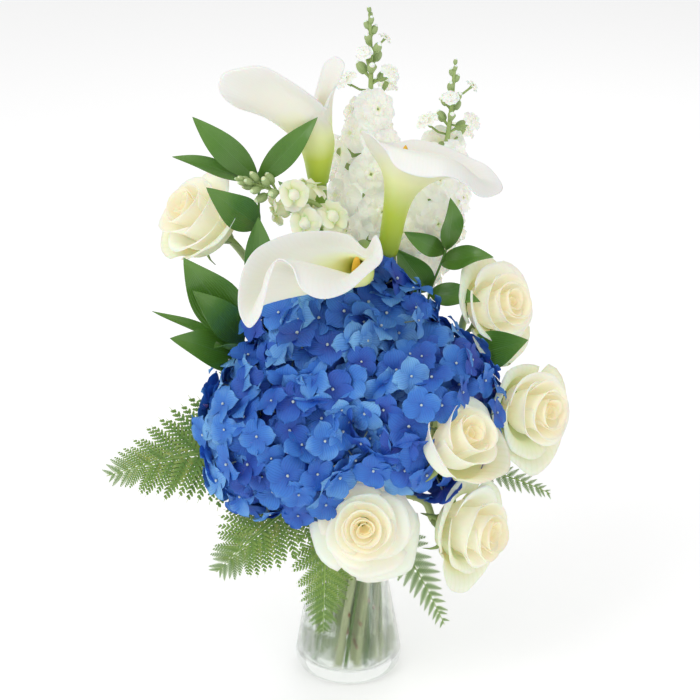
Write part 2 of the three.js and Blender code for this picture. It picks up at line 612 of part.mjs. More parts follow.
function addFern(name, frond) {
  const [before, end] = frond.route.slice(-2);
  const base = end.clone().add(before.clone().sub(end).setLength(FERN_OVERLAP));
  const blade = { base, tip: frond.tip, width: frond.width, rise: frond.rise, facing: frond.facing,
    outline: fernOutline };
  addPiece(name, RANK.stem, FINISH.fern, stem(frond.slot, frond.route, FERN_STEM_RADIUS, 6, FERN_STEM_STEPS),
    sprigBlades([blade]));
}

function addSprig(name, sprig) {
  addPiece(name, RANK.stem, FINISH.leaf,
    stem(sprig.slot, sprig.route, SPRIG_STEM_RADIUS, 6, 11), sprigBlades(sprig.leaves));
}

addPiece('vase', RANK.glass, FINISH.glass, makeVase);
Object.entries(HYDRANGEAS).forEach(([name, flower]) => addHydrangea(name, flower));
Object.entries(ROSES).forEach(([name, flower]) => addRose(name, flower));
Object.entries(CALLAS).forEach(([name, flower]) => addCalla(name, flower));
Object.entries(STOCKS).forEach(([name, flower]) => addStock(name, flower));
addSnapdragon(SNAPDRAGON);
Object.entries(SPRIGS).forEach(([name, sprig]) => addSprig(name, sprig));
Object.entries(FERNS).forEach(([name, frond]) => addFern(name, frond));

// ---------------------------------------------------------------- keeping pieces clear
const touching = (a, b) => {
  const [first, second] = [a.boundingBox(), b.boundingBox()];
  return [0, 1, 2].every((k) => first.min[k] < second.max[k] && second.min[k] < first.max[k]);
};

// Cuts a solid clear of every grown neighbour in the list that it meets.
const clearOf = (solid, neighbours) => neighbours
  .filter((neighbour) => touching(solid, neighbour))
  .reduce((rest, neighbour) => rest.subtract(neighbour), solid);

// Cuts each piece clear of the pieces before it, in the order of their ranks. What a stem holds,
// its blades or buds, is cut clear of every other piece and then joined to it.
function settle() {
  const ordered = [...pieces].sort((a, b) => a.rank - b.rank);
  const solids = new Map();
  const twins = new Map();
  for (const piece of ordered) {
    const body = piece.body(0);
    const laidClear = piece.rank <= RANK.stem;
    solids.set(piece, laidClear ? body : clearOf(body, [...twins.values()]));
    if (piece.rank !== RANK.glass) twins.set(piece, piece.body(CLEARANCE));
  }
  for (const piece of ordered.filter(({ held }) => held)) {
    const others = [...twins].filter(([owner]) => owner !== piece).map(([, twin]) => twin);
    solids.set(piece, largestPiece(solids.get(piece).add(clearOf(piece.held(0), others))));
    twins.set(piece, largestPiece(piece.held(CLEARANCE).add(twins.get(piece))));
  }
  return solids;
}

function meshOf(name, solid, finish) {
  const { vertProperties, triVerts } = solid.getMesh();
  const geometry = new THREE.BufferGeometry();
  geometry.setAttribute('position', new THREE.BufferAttribute(vertProperties, 3));
  geometry.setIndex(new THREE.BufferAttribute(triVerts, 1));
  const mesh = new THREE.Mesh(geometry, new THREE.MeshStandardMaterial(finish));
  mesh.name = name;
  return mesh;
}

const arrangement = new THREE.Group();
for (const [piece, solid] of settle()) {
  arrangement.add(meshOf(piece.name, largestPiece(solid), piece.finish));
}
const feet = pieces.filter((piece) => piece.rank === RANK.stem).map((piece) => piece.body(CLEARANCE));
arrangement.add(meshOf('water', largestPiece(clearOf(makeWater(), feet)), FINISH.water));

export default arrangement;
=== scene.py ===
"""The looks of a bouquet of hydrangeas, roses, callas and greens in a clear glass vase.

Every piece is built in metres in the CAD frame: +Z is up, the front of the bouquet faces -Y and
the origin is the centre of the vase's foot. A route or a place is written in millimetres, with
its height above the vase's lip, and repeats the CAD model's own points.
"""

import logging
import math
import random
from dataclasses import dataclass, field
from enum import Enum

import bpy
import numpy as np
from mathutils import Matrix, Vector


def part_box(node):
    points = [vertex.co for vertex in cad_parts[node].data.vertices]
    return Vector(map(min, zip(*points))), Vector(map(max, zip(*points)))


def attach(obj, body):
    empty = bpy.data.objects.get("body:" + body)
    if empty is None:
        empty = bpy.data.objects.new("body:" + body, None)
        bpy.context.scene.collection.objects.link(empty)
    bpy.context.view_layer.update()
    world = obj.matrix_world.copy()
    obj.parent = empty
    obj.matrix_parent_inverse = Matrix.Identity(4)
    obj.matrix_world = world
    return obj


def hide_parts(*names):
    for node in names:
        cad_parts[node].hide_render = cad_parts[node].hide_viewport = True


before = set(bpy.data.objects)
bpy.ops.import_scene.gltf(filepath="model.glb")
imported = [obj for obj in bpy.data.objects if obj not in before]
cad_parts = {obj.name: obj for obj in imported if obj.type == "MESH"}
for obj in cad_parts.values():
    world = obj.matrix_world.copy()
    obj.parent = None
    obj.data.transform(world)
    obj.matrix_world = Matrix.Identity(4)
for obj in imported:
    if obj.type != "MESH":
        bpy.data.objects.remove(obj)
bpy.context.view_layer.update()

LOG = logging.getLogger("bouquet")
MM = 0.001
BODY = "root"
HEAD_SHARE = 0.93  # florets within this share of a neighbouring head are left out
LIP_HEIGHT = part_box("vase")[1].z
WATER_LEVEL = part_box("water")[1].z
FLOOR_OF_GLASS = 0.012

Point = tuple[float, float, float]
Colour = tuple[float, float, float]


# ------------------------------------------------------------------ points and curves
def spot(x: float, y: float, above_lip: float) -> np.ndarray:
    """A place in the bouquet in metres, from millimetres with its height above the lip."""
    return np.array([x * MM, y * MM, LIP_HEIGHT + above_lip * MM])


def unit(vector: Point) -> np.ndarray:
    """The direction of a vector, with length one."""
    found = np.array(vector, float)
    return found / np.linalg.norm(found)


def cross_axes(axis: np.ndarray) -> tuple[np.ndarray, np.ndarray]:
    """Two directions square to an axis and to each other.

    Args:
        axis: A direction of length one.

    Returns:
        A sideways direction, and the one square to it and to the axis.
    """
    reference = np.array([0.0, 0.0, 1.0]) if abs(axis[2]) < 0.95 else np.array([0.0, 1.0, 0.0])
    side = unit(np.cross(reference, axis))
    return side, unit(np.cross(axis, side))


def on_circle(centre: np.ndarray, axis: np.ndarray, radius: float, turn: float) -> np.ndarray:
    """The point of a circle about an axis at a turn from 0 to 1."""
    side, other = cross_axes(axis)
    angle = turn * math.tau
    return centre + radius * (math.cos(angle) * side + math.sin(angle) * other)


def curve_at(knots: list[np.ndarray], share: float, closed: bool = False) -> np.ndarray:
    """A point of the centripetal Catmull-Rom curve through some knots.

    Args:
        knots: The points that the curve passes through.
        share: How far along the curve, from 0 to 1.
        closed: True where the last knot joins the first.

    Returns:
        The point.
    """
    count = len(knots)
    place = (count if closed else count - 1) * share
    index = min(int(place), count - 1 if closed else count - 2)
    weight = place - index
    first, second = knots[index % count], knots[(index + 1) % count]
    before = knots[(index - 1) % count] if closed or index > 0 else 2 * knots[0] - knots[1]
    after = knots[(index + 2) % count] if closed or index + 2 < count else 2 * knots[-1] - knots[-2]
    gaps = [max(float(np.linalg.norm(b - a)) ** 0.5, 1e-6)
            for a, b in ((before, first), (first, second), (second, after))]
    start = ((first - before) / gaps[0] - (second - before) / (gaps[0] + gaps[1])
             + (second - first) / gaps[1]) * gaps[1]
    end = ((second - first) / gaps[1] - (after - first) / (gaps[1] + gaps[2])
           + (after - second) / gaps[2]) * gaps[1]
    square, cube = weight ** 2, weight ** 3
    return (first * (2 * cube - 3 * square + 1) + second * (3 * square - 2 * cube)
            + start * (cube - 2 * square + weight) + end * (cube - square))


def even_points(knots: list[np.ndarray], count: int, closed: bool = False) -> np.ndarray:
    """Points at even distances along the curve through some knots."""
    fine = np.array([curve_at(knots, i / 400, closed) for i in range(401)])
    run = np.concatenate([[0], np.cumsum(np.linalg.norm(np.diff(fine, axis=0), axis=1))])
    places = np.linspace(0, run[-1], count, endpoint=not closed)
    return np.stack([np.interp(places, run, fine[:, k]) for k in range(3)], axis=1)


def along_frames(path: np.ndarray) -> tuple[np.ndarray, np.ndarray, np.ndarray]:
    """Tangents and two cross directions carried along a path without twisting.

    Args:
        path: Points, one row each.

    Returns:
        The tangents, the first cross directions and the second ones.
    """
    tangents = np.gradient(path, axis=0)
    tangents /= np.linalg.norm(tangents, axis=1)[:, None]
    side = cross_axes(tangents[0])[0]
    sides = []
    for tangent in tangents:
        side = side - tangent * float(np.dot(side, tangent))
        side = side / np.linalg.norm(side)
        sides.append(side)
    first = np.array(sides)
    return tangents, first, np.cross(tangents, first)


# ------------------------------------------------------------------ meshes
class Part(Enum):
    """The parts of a piece that have finishes of their own, by material index."""

    MAIN = 0
    CENTRE = 1
    GREEN = 2


@dataclass
class Shape:
    """Points and faces being gathered for one mesh.

    Each point also has petal coordinates: how far across and along its petal or leaf it lies,
    from 0 to 1, and a tone that its material reads.
    """

    points: list[np.ndarray] = field(default_factory=list)
    petals: list[np.ndarray] = field(default_factory=list)
    faces: list[tuple[int, ...]] = field(default_factory=list)
    parts: list[int] = field(default_factory=list)
    total: int = 0

    def add(self, points: np.ndarray, petals: np.ndarray, faces: list[tuple[int, ...]],
            part: Part = Part.MAIN) -> None:
        """Adds points and the faces between them."""
        start = self.total
        self.points.append(np.asarray(points, float).reshape(-1, 3))
        self.petals.append(np.asarray(petals, float).reshape(-1, 3))
        self.faces.extend(tuple(start + k for k in face) for face in faces)
        self.parts.extend([part.value] * len(faces))
        self.total += len(self.points[-1])

    def grid(self, points: np.ndarray, tone: float = 0.5, part: Part = Part.MAIN,
             closed: bool = False) -> None:
        """Adds a sheet of quads from rows of points.

        Args:
            points: An array of rows along by columns across by three.
            tone: The tone of all its points.
            part: The part that its faces belong to.
            closed: True where the last column joins the first.
        """
        rows, columns = points.shape[:2]
        across = np.linspace(0, 1, columns, endpoint=not closed)
        if closed:
            across = 1 - np.abs(2 * across - 1)
        along = np.linspace(0, 1, rows)
        petals = np.stack([np.tile(across, (rows, 1)), np.tile(along[:, None], (1, columns)),
                           np.full((rows, columns), tone)], axis=2)
        span = columns if closed else columns - 1
        faces = [(r * columns + c, r * columns + (c + 1) % columns,
                  (r + 1) * columns + (c + 1) % columns, (r + 1) * columns + c)
                 for r in range(rows - 1) for c in range(span)]
        self.add(points, petals, faces, part)

    def tube(self, path: np.ndarray, radii: np.ndarray | float, sides: int = 8,
             tone: float = 0.5, part: Part = Part.MAIN) -> None:
        """Adds a round tube along a path, closed at both ends.

        Args:
            path: Points, one row each.
            radii: One radius, or one for each point.
            sides: The sides of its section.
            tone: The tone of all its points.
            part: The part that its faces belong to.
        """
        widths = np.broadcast_to(np.asarray(radii, float), (len(path),))
        _, first, second = along_frames(path)
        angles = np.arange(sides) / sides * math.tau
        rings = (path[:, None, :] + widths[:, None, None]
                 * (np.cos(angles)[None, :, None] * first[:, None, :]
                    + np.sin(angles)[None, :, None] * second[:, None, :]))
        start = self.total
        self.grid(rings, tone, part, closed=True)
        for row, turned in ((0, True), (len(path) - 1, False)):
            centre = self.total
            self.add(path[row], np.array([[0.5, float(row > 0), tone]]), [])
            ring = [start + row * sides + k for k in range(sides)]
            for k in range(sides):
                face = (ring[k], ring[(k + 1) % sides], centre)
                self.faces.append(face[::-1] if turned else face)
                self.parts.append(part.value)

    def ball(self, centre: np.ndarray, axis: np.ndarray, radius: float, half_length: float,
             rings: int = 6, sides: int = 8, tone: float = 0.5, part: Part = Part.MAIN,
             ribs: float = 0.0) -> None:
        """Adds a rounded body about an axis, such as a bud.

        Args:
            centre: Its middle.
            axis: The direction of its long axis.
            radius: Its radius across the axis.
            half_length: Half its length along the axis.
            rings: Rings between its ends.
            sides: The sides of each ring.
            tone: The tone of all its points.
            part: The part that its faces belong to.
            ribs: How deep its ribs are, as a share of its radius.
        """
        heights = np.linspace(-1, 1, rings + 2)
        path = centre + heights[:, None] * half_length * axis
        side, other = cross_axes(axis)
        angles = np.arange(sides) / sides * math.tau
        widths = np.maximum(radius * np.sqrt(np.clip(1 - heights ** 2, 0, 1)), radius * 0.02)
        ripple = 1 + ribs * np.cos(np.arange(sides) * math.pi)
        points = (path[:, None, :] + (widths[:, None] * ripple[None, :])[:, :, None]
                  * (np.cos(angles)[None, :, None] * side + np.sin(angles)[None, :, None] * other))
        self.grid(points, tone, part, closed=True)
        start = self.total - points.shape[0] * sides
        last = start + (rings + 1) * sides
        self.faces.append(tuple(range(start, start + sides))[::-1])
        self.faces.append(tuple(range(last, last + sides)))
        self.parts.extend([part.value] * 2)

    def mesh(self, name: str) -> bpy.types.Mesh:
        """Makes one mesh of what was gathered.

        Args:
            name: The mesh's name.

        Returns:
            The mesh.
        """
        mesh = bpy.data.meshes.new(name)
        mesh.from_pydata(np.concatenate(self.points).tolist(), [], self.faces)
        petal = mesh.attributes.new("petal", "FLOAT_VECTOR", "POINT")
        petal.data.foreach_set("vector", np.concatenate(self.petals).ravel())
        part = mesh.attributes.new("part", "INT", "FACE")
        part.data.foreach_set("value", self.parts)
        mesh.polygons.foreach_set("use_smooth", [True] * len(mesh.polygons))
        mesh.update()
        return mesh

    def piece(self, name: str, finishes: list[bpy.types.Material],
              thickness: float = 0.0) -> bpy.types.Object:
        """Makes an object of what was gathered.

        Args:
            name: The object's name.
            finishes: Its materials, in the order of Part.
            thickness: The thickness that its sheets get, in metres, or 0 for none.

        Returns:
            The object, linked to the scene.
        """
        mesh = self.mesh(name)
        for finish in finishes:
            mesh.materials.append(finish)
        mesh.polygons.foreach_set("material_index", [min(p, len(finishes) - 1) for p in self.parts])
        made = bpy.data.objects.new(name, mesh)
        bpy.context.scene.collection.objects.link(made)
        if thickness:
            wall = made.modifiers.new("wall", "SOLIDIFY")
            wall.thickness = thickness
            wall.offset = 0
        return made


def settle(piece: bpy.types.Object, node: str) -> None:
    """Makes a piece stand for a CAD node and ride on the bouquet's body."""
    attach(piece, BODY)
    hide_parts(node)
    LOG.info("%s stands for %s", piece.name, node)


# ------------------------------------------------------------------ node trees
class Web:
    """A node tree being wired."""

    def __init__(self, tree: bpy.types.NodeTree) -> None:
        """Starts wiring a tree."""
        self.tree = tree

    def node(self, kind: str, inputs: dict | None = None, **settings: object) -> bpy.types.Node:
        """Adds a node.

        Args:
            kind: The node's type name.
            inputs: A value or an output socket for each input, by name or index.
            **settings: Properties of the node.

        Returns:
            The node.
        """
        made = self.tree.nodes.new(kind)
        for name, value in settings.items():
            setattr(made, name, value)
        for key, value in (inputs or {}).items():
            if isinstance(value, bpy.types.NodeSocket):
                self.tree.links.new(value, made.inputs[key])
            else:
                made.inputs[key].default_value = value
        return made

    def maths(self, operation: str, first: object, second: object = 0.0,
              clamp: bool = False) -> bpy.types.NodeSocket:
        """Adds a Math node and gives its result."""
        return self.node("ShaderNodeMath", {0: first, 1: second}, operation=operation,
                         use_clamp=clamp).outputs[0]

    def blend(self, factor: object, first: object, second: object) -> bpy.types.NodeSocket:
        """Adds a colour Mix node and gives its result."""
        made = self.node("ShaderNodeMix", {0: factor, 6: first, 7: second}, data_type="RGBA")
        return made.outputs[2]

    def ramp(self, factor: object, stops: list[tuple[float, Colour]]) -> bpy.types.NodeSocket:
        """Adds a colour ramp and gives its colour.

        Args:
            factor: The value that it reads.
            stops: The places and colours of its stops, in order.

        Returns:
            The colour output.
        """
        made = self.node("ShaderNodeValToRGB", {0: factor})
        elements = made.color_ramp.elements
        while len(elements) < len(stops):
            elements.new(0.5)
        for element, (place, colour) in zip(elements, stops):
            element.position = place
            element.color = (*colour, 1.0)
        return made.outputs[0]


def new_group(name: str, kind: str, inputs: list[tuple[str, str, object]],
              outputs: list[tuple[str, str]]) -> tuple[bpy.types.NodeTree, Web]:
    """Makes a node group with named sockets.

    Args:
        name: The group's name.
        kind: The tree's type name.
        inputs: Name, socket type and default of each input.
        outputs: Name and socket type of each output.

    Returns:
        The group, and the web to wire it with.
    """
    tree = bpy.data.node_groups.new(name, kind)
    for label, socket_type, default in inputs:
        made = tree.interface.new_socket(name=label, in_out="INPUT", socket_type=socket_type)
        if default is not None:
            made.default_value = default
    for label, socket_type in outputs:
        tree.interface.new_socket(name=label, in_out="OUTPUT", socket_type=socket_type)
    return tree, Web(tree)


FLOAT = "NodeSocketFloat"


def vein_group() -> bpy.types.NodeTree:
    """The shared group that draws veins running along a petal or leaf.

    Returns:
        The node group.
    """
    tree, web = new_group(
        "long_veins", "ShaderNodeTree",
        [("Across", FLOAT, 0.5), ("Count", FLOAT, 12.0), ("Wander", FLOAT, 0.02)],
        [("Vein", FLOAT)])
    given = web.node("NodeGroupInput")
    place = web.node("ShaderNodeTexCoord").outputs["Object"]
    noise = web.node("ShaderNodeTexNoise", {"Vector": place, "Scale": 90.0, "Detail": 1.0})
    drift = web.maths("MULTIPLY", web.maths("SUBTRACT", noise.outputs["Fac"], 0.5),
                      given.outputs["Wander"])
    turned = web.maths("MULTIPLY", web.maths("ADD", given.outputs["Across"], drift),
                       web.maths("MULTIPLY", given.outputs["Count"], math.pi))
    line = web.maths("ABSOLUTE", web.maths("COSINE", turned))
    web.node("NodeGroupOutput", {"Vein": web.maths("POWER", line, 7.0)})
    return tree


def mottle_group() -> bpy.types.NodeTree:
    """The shared group of soft colour clouds and fine cell grain.

    Returns:
        The node group.
    """
    tree, web = new_group(
        "mottle", "ShaderNodeTree",
        [("Cloud scale", FLOAT, 40.0), ("Grain scale", FLOAT, 900.0)],
        [("Cloud", FLOAT), ("Grain", FLOAT)])
    given = web.node("NodeGroupInput")
    place = web.node("ShaderNodeTexCoord").outputs["Object"]
    cloud = web.node("ShaderNodeTexNoise", {
        "Vector": place, "Scale": given.outputs["Cloud scale"], "Detail": 3.0})
    grain = web.node("ShaderNodeTexNoise", {
        "Vector": place, "Scale": given.outputs["Grain scale"], "Detail": 2.0})
    web.node("NodeGroupOutput", {"Cloud": cloud.outputs["Fac"], "Grain": grain.outputs["Fac"]})
    return tree


# ------------------------------------------------------------------ finishes
@dataclass(frozen=True)
class Finish:
    """A petal, leaf or stem finish with veins, clouds and a bump.

    Attributes:
        name: The material's name.
        stops: Colours along the petal, from its base to its rim.
        toned: The colour that points of tone 1 lean to.
        toned_share: How far they lean to it.
        vein: The colour of the veins.
        vein_share: How strongly the veins show.
        vein_count: How many veins run side by side.
        midrib: How strongly a single middle vein shows.
        cloud_share: How much the colour drifts along the ramp with its clouds.
        varied: True where each repeated flower has a variation of its own.
        roughness: The surface's roughness.
        coat: The weight of a waxy coat.
        glow: The weight of light scattered inside.
        painted_glow: Its painted glow, an emission in its own colour for light through thin petals.
        bump: The strength of the bump.
        cloud_scale: How fine the clouds are.
    """

    name: str
    stops: tuple[tuple[float, Colour], ...]
    toned: Colour
    toned_share: float = 0.0
    vein: Colour = (0.5, 0.5, 0.5)
    vein_share: float = 0.0
    vein_count: float = 12.0
    midrib: float = 0.0
    cloud_share: float = 0.15
    varied: bool = False
    roughness: float = 0.6
    coat: float = 0.0
    glow: float = 0.0
    painted_glow: float = 0.0
    bump: float = 0.15
    cloud_scale: float = 40.0

    def material(self, shared: dict[str, bpy.types.NodeTree]) -> bpy.types.Material:
        """Builds the material.

        Args:
            shared: The node groups that finishes share, by name.

        Returns:
            The material.
        """
        made = bpy.data.materials.new(self.name)
        made.use_nodes = True
        tree = made.node_tree
        tree.nodes.clear()
        web = Web(tree)
        petal = web.node("ShaderNodeAttribute", attribute_name="petal").outputs["Vector"]
        parts = web.node("ShaderNodeSeparateXYZ", {0: petal}).outputs
        mottle = web.node("ShaderNodeGroup", node_tree=shared["mottle"])
        mottle.inputs["Cloud scale"].default_value = self.cloud_scale
        veins = web.node("ShaderNodeGroup", node_tree=shared["veins"])
        tree.links.new(parts[0], veins.inputs["Across"])
        veins.inputs["Count"].default_value = self.vein_count
        drift = web.maths("MULTIPLY", web.maths("SUBTRACT", mottle.outputs["Cloud"], 0.5),
                          self.cloud_share * 2)
        place = web.maths("ADD", parts[1], drift)
        if self.varied:
            own = web.node("ShaderNodeAttribute", attribute_name="variation").outputs["Fac"]
            place = web.maths("ADD", web.maths("MULTIPLY", parts[1], 0.3),
                              web.maths("ADD", web.maths("MULTIPLY", own, 0.7), drift))
        colour = web.ramp(place, list(self.stops))
        if self.toned_share:
            lean = web.maths("MULTIPLY", parts[2], self.toned_share, clamp=True)
            colour = web.blend(lean, colour, (*self.toned, 1.0))
        height = mottle.outputs["Grain"]
        if self.vein_share:
            shown = web.maths("MULTIPLY", veins.outputs["Vein"], self.vein_share)
            colour = web.blend(shown, colour, (*self.vein, 1.0))
            height = web.maths("ADD", web.maths("MULTIPLY", height, 0.35), veins.outputs["Vein"])
        if self.midrib:
            off = web.maths("ABSOLUTE", web.maths("SUBTRACT", parts[0], 0.5))
            near = web.maths("SUBTRACT", 1.0, web.maths("MULTIPLY", off, 28.0), clamp=True)
            colour = web.blend(web.maths("MULTIPLY", near, self.midrib), colour, (*self.vein, 1.0))
            height = web.maths("ADD", height, near)
        bump = web.node("ShaderNodeBump", {
            "Strength": self.bump, "Distance": 0.0006, "Height": height})
        rough = web.maths("ADD", web.maths("MULTIPLY", mottle.outputs["Cloud"], 0.16),
                          self.roughness - 0.08)
        # The emission is a painted glow in the finish's own colour, standing in for light that
        # passes through thin petals.
        shader = web.node("ShaderNodeBsdfPrincipled", {
            "Base Color": colour, "Roughness": rough, "Normal": bump.outputs[0],
            "Coat Weight": self.coat, "Coat Roughness": 0.25,
            "Subsurface Weight": self.glow, "Subsurface Scale": 0.004,
            "Emission Color": colour, "Emission Strength": self.painted_glow})
        web.node("ShaderNodeOutputMaterial", {"Surface": shader.outputs[0]})
        return made


@dataclass(frozen=True)
class ClearFinish:
    """Glass or water.

    Attributes:
        name: The material's name.
        tint: The colour of the light that passes through.
        index: Its index of refraction.
        roughness: The surface's roughness.
        opacity: How much of it is seen, against what lies straight behind it.
    """

    name: str
    tint: Colour
    index: float
    roughness: float
    opacity: float

    def material(self) -> bpy.types.Material:
        """Builds the material, with a slight waviness in its surface.

        Returns:
            The material.
        """
        made = bpy.data.materials.new(self.name)
        made.use_nodes = True
        tree = made.node_tree
        tree.nodes.clear()
        web = Web(tree)
        place = web.node("ShaderNodeTexCoord").outputs["Object"]
        wave = web.node("ShaderNodeTexNoise", {"Vector": place, "Scale": 35.0, "Detail": 1.0})
        bump = web.node("ShaderNodeBump", {
            "Strength": 0.05, "Distance": 0.001, "Height": wave.outputs["Fac"]})
        shader = web.node("ShaderNodeBsdfPrincipled", {
            "Base Color": (*self.tint, 1.0), "Roughness": self.roughness, "IOR": self.index,
            "Alpha": self.opacity, "Transmission Weight": 1.0, "Normal": bump.outputs[0]})
        web.node("ShaderNodeOutputMaterial", {"Surface": shader.outputs[0]})
        return made


WHITE_RIM: Colour = (0.86, 0.865, 0.85)
FINISHES = (
    Finish("hydrangea_sepal", (
        (0.10, (0.030, 0.060, 0.40)), (0.34, (0.025, 0.125, 0.56)), (0.56, (0.050, 0.23, 0.72)),
        (0.80, (0.20, 0.49, 0.88))), (0.2, 0.2, 0.7), vein=(0.02, 0.07, 0.42),
        vein_share=0.22, vein_count=9.0, cloud_share=0.16, varied=True, roughness=0.62,
        glow=0.12, bump=0.35, cloud_scale=60.0),
    Finish("hydrangea_bead", ((0.0, (0.42, 0.60, 0.72)), (1.0, (0.70, 0.80, 0.72))),
           (0.5, 0.6, 0.7), roughness=0.5),
    Finish("hydrangea_branch", ((0.0, (0.30, 0.40, 0.14)), (1.0, (0.36, 0.44, 0.22))),
           (0.14, 0.22, 0.30), toned_share=0.6, roughness=0.55),
    Finish("rose_petal", (
        (0.0, (0.84, 0.80, 0.48)), (0.30, (0.87, 0.855, 0.67)), (0.70, (0.885, 0.875, 0.75)),
        (1.0, (0.90, 0.89, 0.80))), (0.92, 0.76, 0.36), toned_share=0.6,
        vein=(0.84, 0.80, 0.60), vein_share=0.10, vein_count=18.0, cloud_share=0.10,
        roughness=0.55, glow=0.4, painted_glow=0.15, bump=0.10, cloud_scale=45.0),
    Finish("rose_guard", (
        (0.0, (0.56, 0.66, 0.26)), (0.5, (0.80, 0.83, 0.56)), (1.0, (0.90, 0.89, 0.74))),
        (0.7, 0.75, 0.4), vein=(0.72, 0.78, 0.46), vein_share=0.2, vein_count=14.0,
        roughness=0.55, glow=0.4, painted_glow=0.08, bump=0.12),
    Finish("rose_green", ((0.0, (0.22, 0.33, 0.09)), (1.0, (0.30, 0.42, 0.13))),
           (0.35, 0.20, 0.10), toned_share=0.8, roughness=0.5, bump=0.2),
    Finish("calla_petal", (
        (0.0, (0.30, 0.44, 0.02)), (0.22, (0.52, 0.64, 0.06)), (0.40, (0.80, 0.84, 0.42)),
        (0.54, (0.80, 0.81, 0.70)), (1.0, WHITE_RIM)), (0.8, 0.85, 0.6),
        vein=(0.72, 0.76, 0.60), vein_share=0.08, vein_count=40.0, cloud_share=0.05,
        roughness=0.45, coat=0.12, glow=0.3, painted_glow=0.09, bump=0.10, cloud_scale=30.0),
    Finish("calla_spadix", ((0.0, (0.70, 0.44, 0.03)), (1.0, (0.90, 0.52, 0.05))),
           (0.9, 0.6, 0.1), roughness=0.75, bump=0.6, cloud_scale=200.0),
    Finish("calla_stalk", ((0.0, (0.30, 0.46, 0.09)), (1.0, (0.22, 0.38, 0.05))),
           (0.55, 0.62, 0.30), toned_share=0.6, vein=(0.42, 0.55, 0.18), vein_share=0.25,
           vein_count=16.0, roughness=0.42, coat=0.1, bump=0.15),
    Finish("stock_petal", (
        (0.0, (0.74, 0.78, 0.46)), (0.24, (0.86, 0.86, 0.77)), (1.0, (0.89, 0.89, 0.87))),
        (0.8, 0.8, 0.6), vein=(0.86, 0.86, 0.76), vein_share=0.14, vein_count=9.0,
        roughness=0.6, glow=0.4, painted_glow=0.19, bump=0.20),
    Finish("snapdragon_petal", (
        (0.0, (0.52, 0.64, 0.20)), (0.35, (0.82, 0.84, 0.56)), (1.0, (0.91, 0.91, 0.78))),
        (0.5, 0.62, 0.15), toned_share=0.5, roughness=0.6, glow=0.4, painted_glow=0.10, bump=0.2),
    Finish("spike_green", ((0.0, (0.26, 0.40, 0.10)), (1.0, (0.42, 0.54, 0.20))),
           (0.80, 0.84, 0.66), toned_share=0.9, vein=(0.20, 0.32, 0.08), vein_share=0.3,
           vein_count=8.0, roughness=0.55, bump=0.2),
    Finish("ruscus_leaf", (
        (0.0, (0.075, 0.175, 0.014)), (0.5, (0.080, 0.22, 0.018)), (1.0, (0.125, 0.29, 0.03))),
        (0.20, 0.36, 0.12), toned_share=0.8, vein=(0.13, 0.29, 0.07), vein_share=0.35,
        vein_count=18.0, midrib=0.35, cloud_share=0.4, roughness=0.32, coat=0.3, bump=0.3,
        cloud_scale=25.0),
    Finish("fern_leaf", ((0.0, (0.12, 0.25, 0.035)), (0.6, (0.22, 0.37, 0.06)),
                         (1.0, (0.32, 0.46, 0.11))), (0.2, 0.3, 0.1), cloud_share=0.5,
           roughness=0.5, glow=0.15, bump=0.25, cloud_scale=30.0),
    Finish("rose_stalk", ((0.0, (0.62, 0.68, 0.38)), (1.0, (0.46, 0.54, 0.24))),
           (0.36, 0.17, 0.07), toned_share=1.0, roughness=0.5, bump=0.2, cloud_scale=90.0),
)


class Palette:
    """Every material of the bouquet, by name."""

    def __init__(self) -> None:
        """Builds the shared groups and all the materials."""
        shared = {"veins": vein_group(), "mottle": mottle_group()}
        self.made = {finish.name: finish.material(shared) for finish in FINISHES}
        clear = (ClearFinish("vase_glass", (0.93, 0.975, 0.94), 1.5, 0.0, 0.55),
                 ClearFinish("vase_water", (0.95, 0.985, 0.93), 1.333, 0.0, 0.5))
        self.made.update({finish.name: finish.material() for finish in clear})

    def __getitem__(self, name: str) -> bpy.types.Material:
        """The material of that name."""
        return self.made[name]


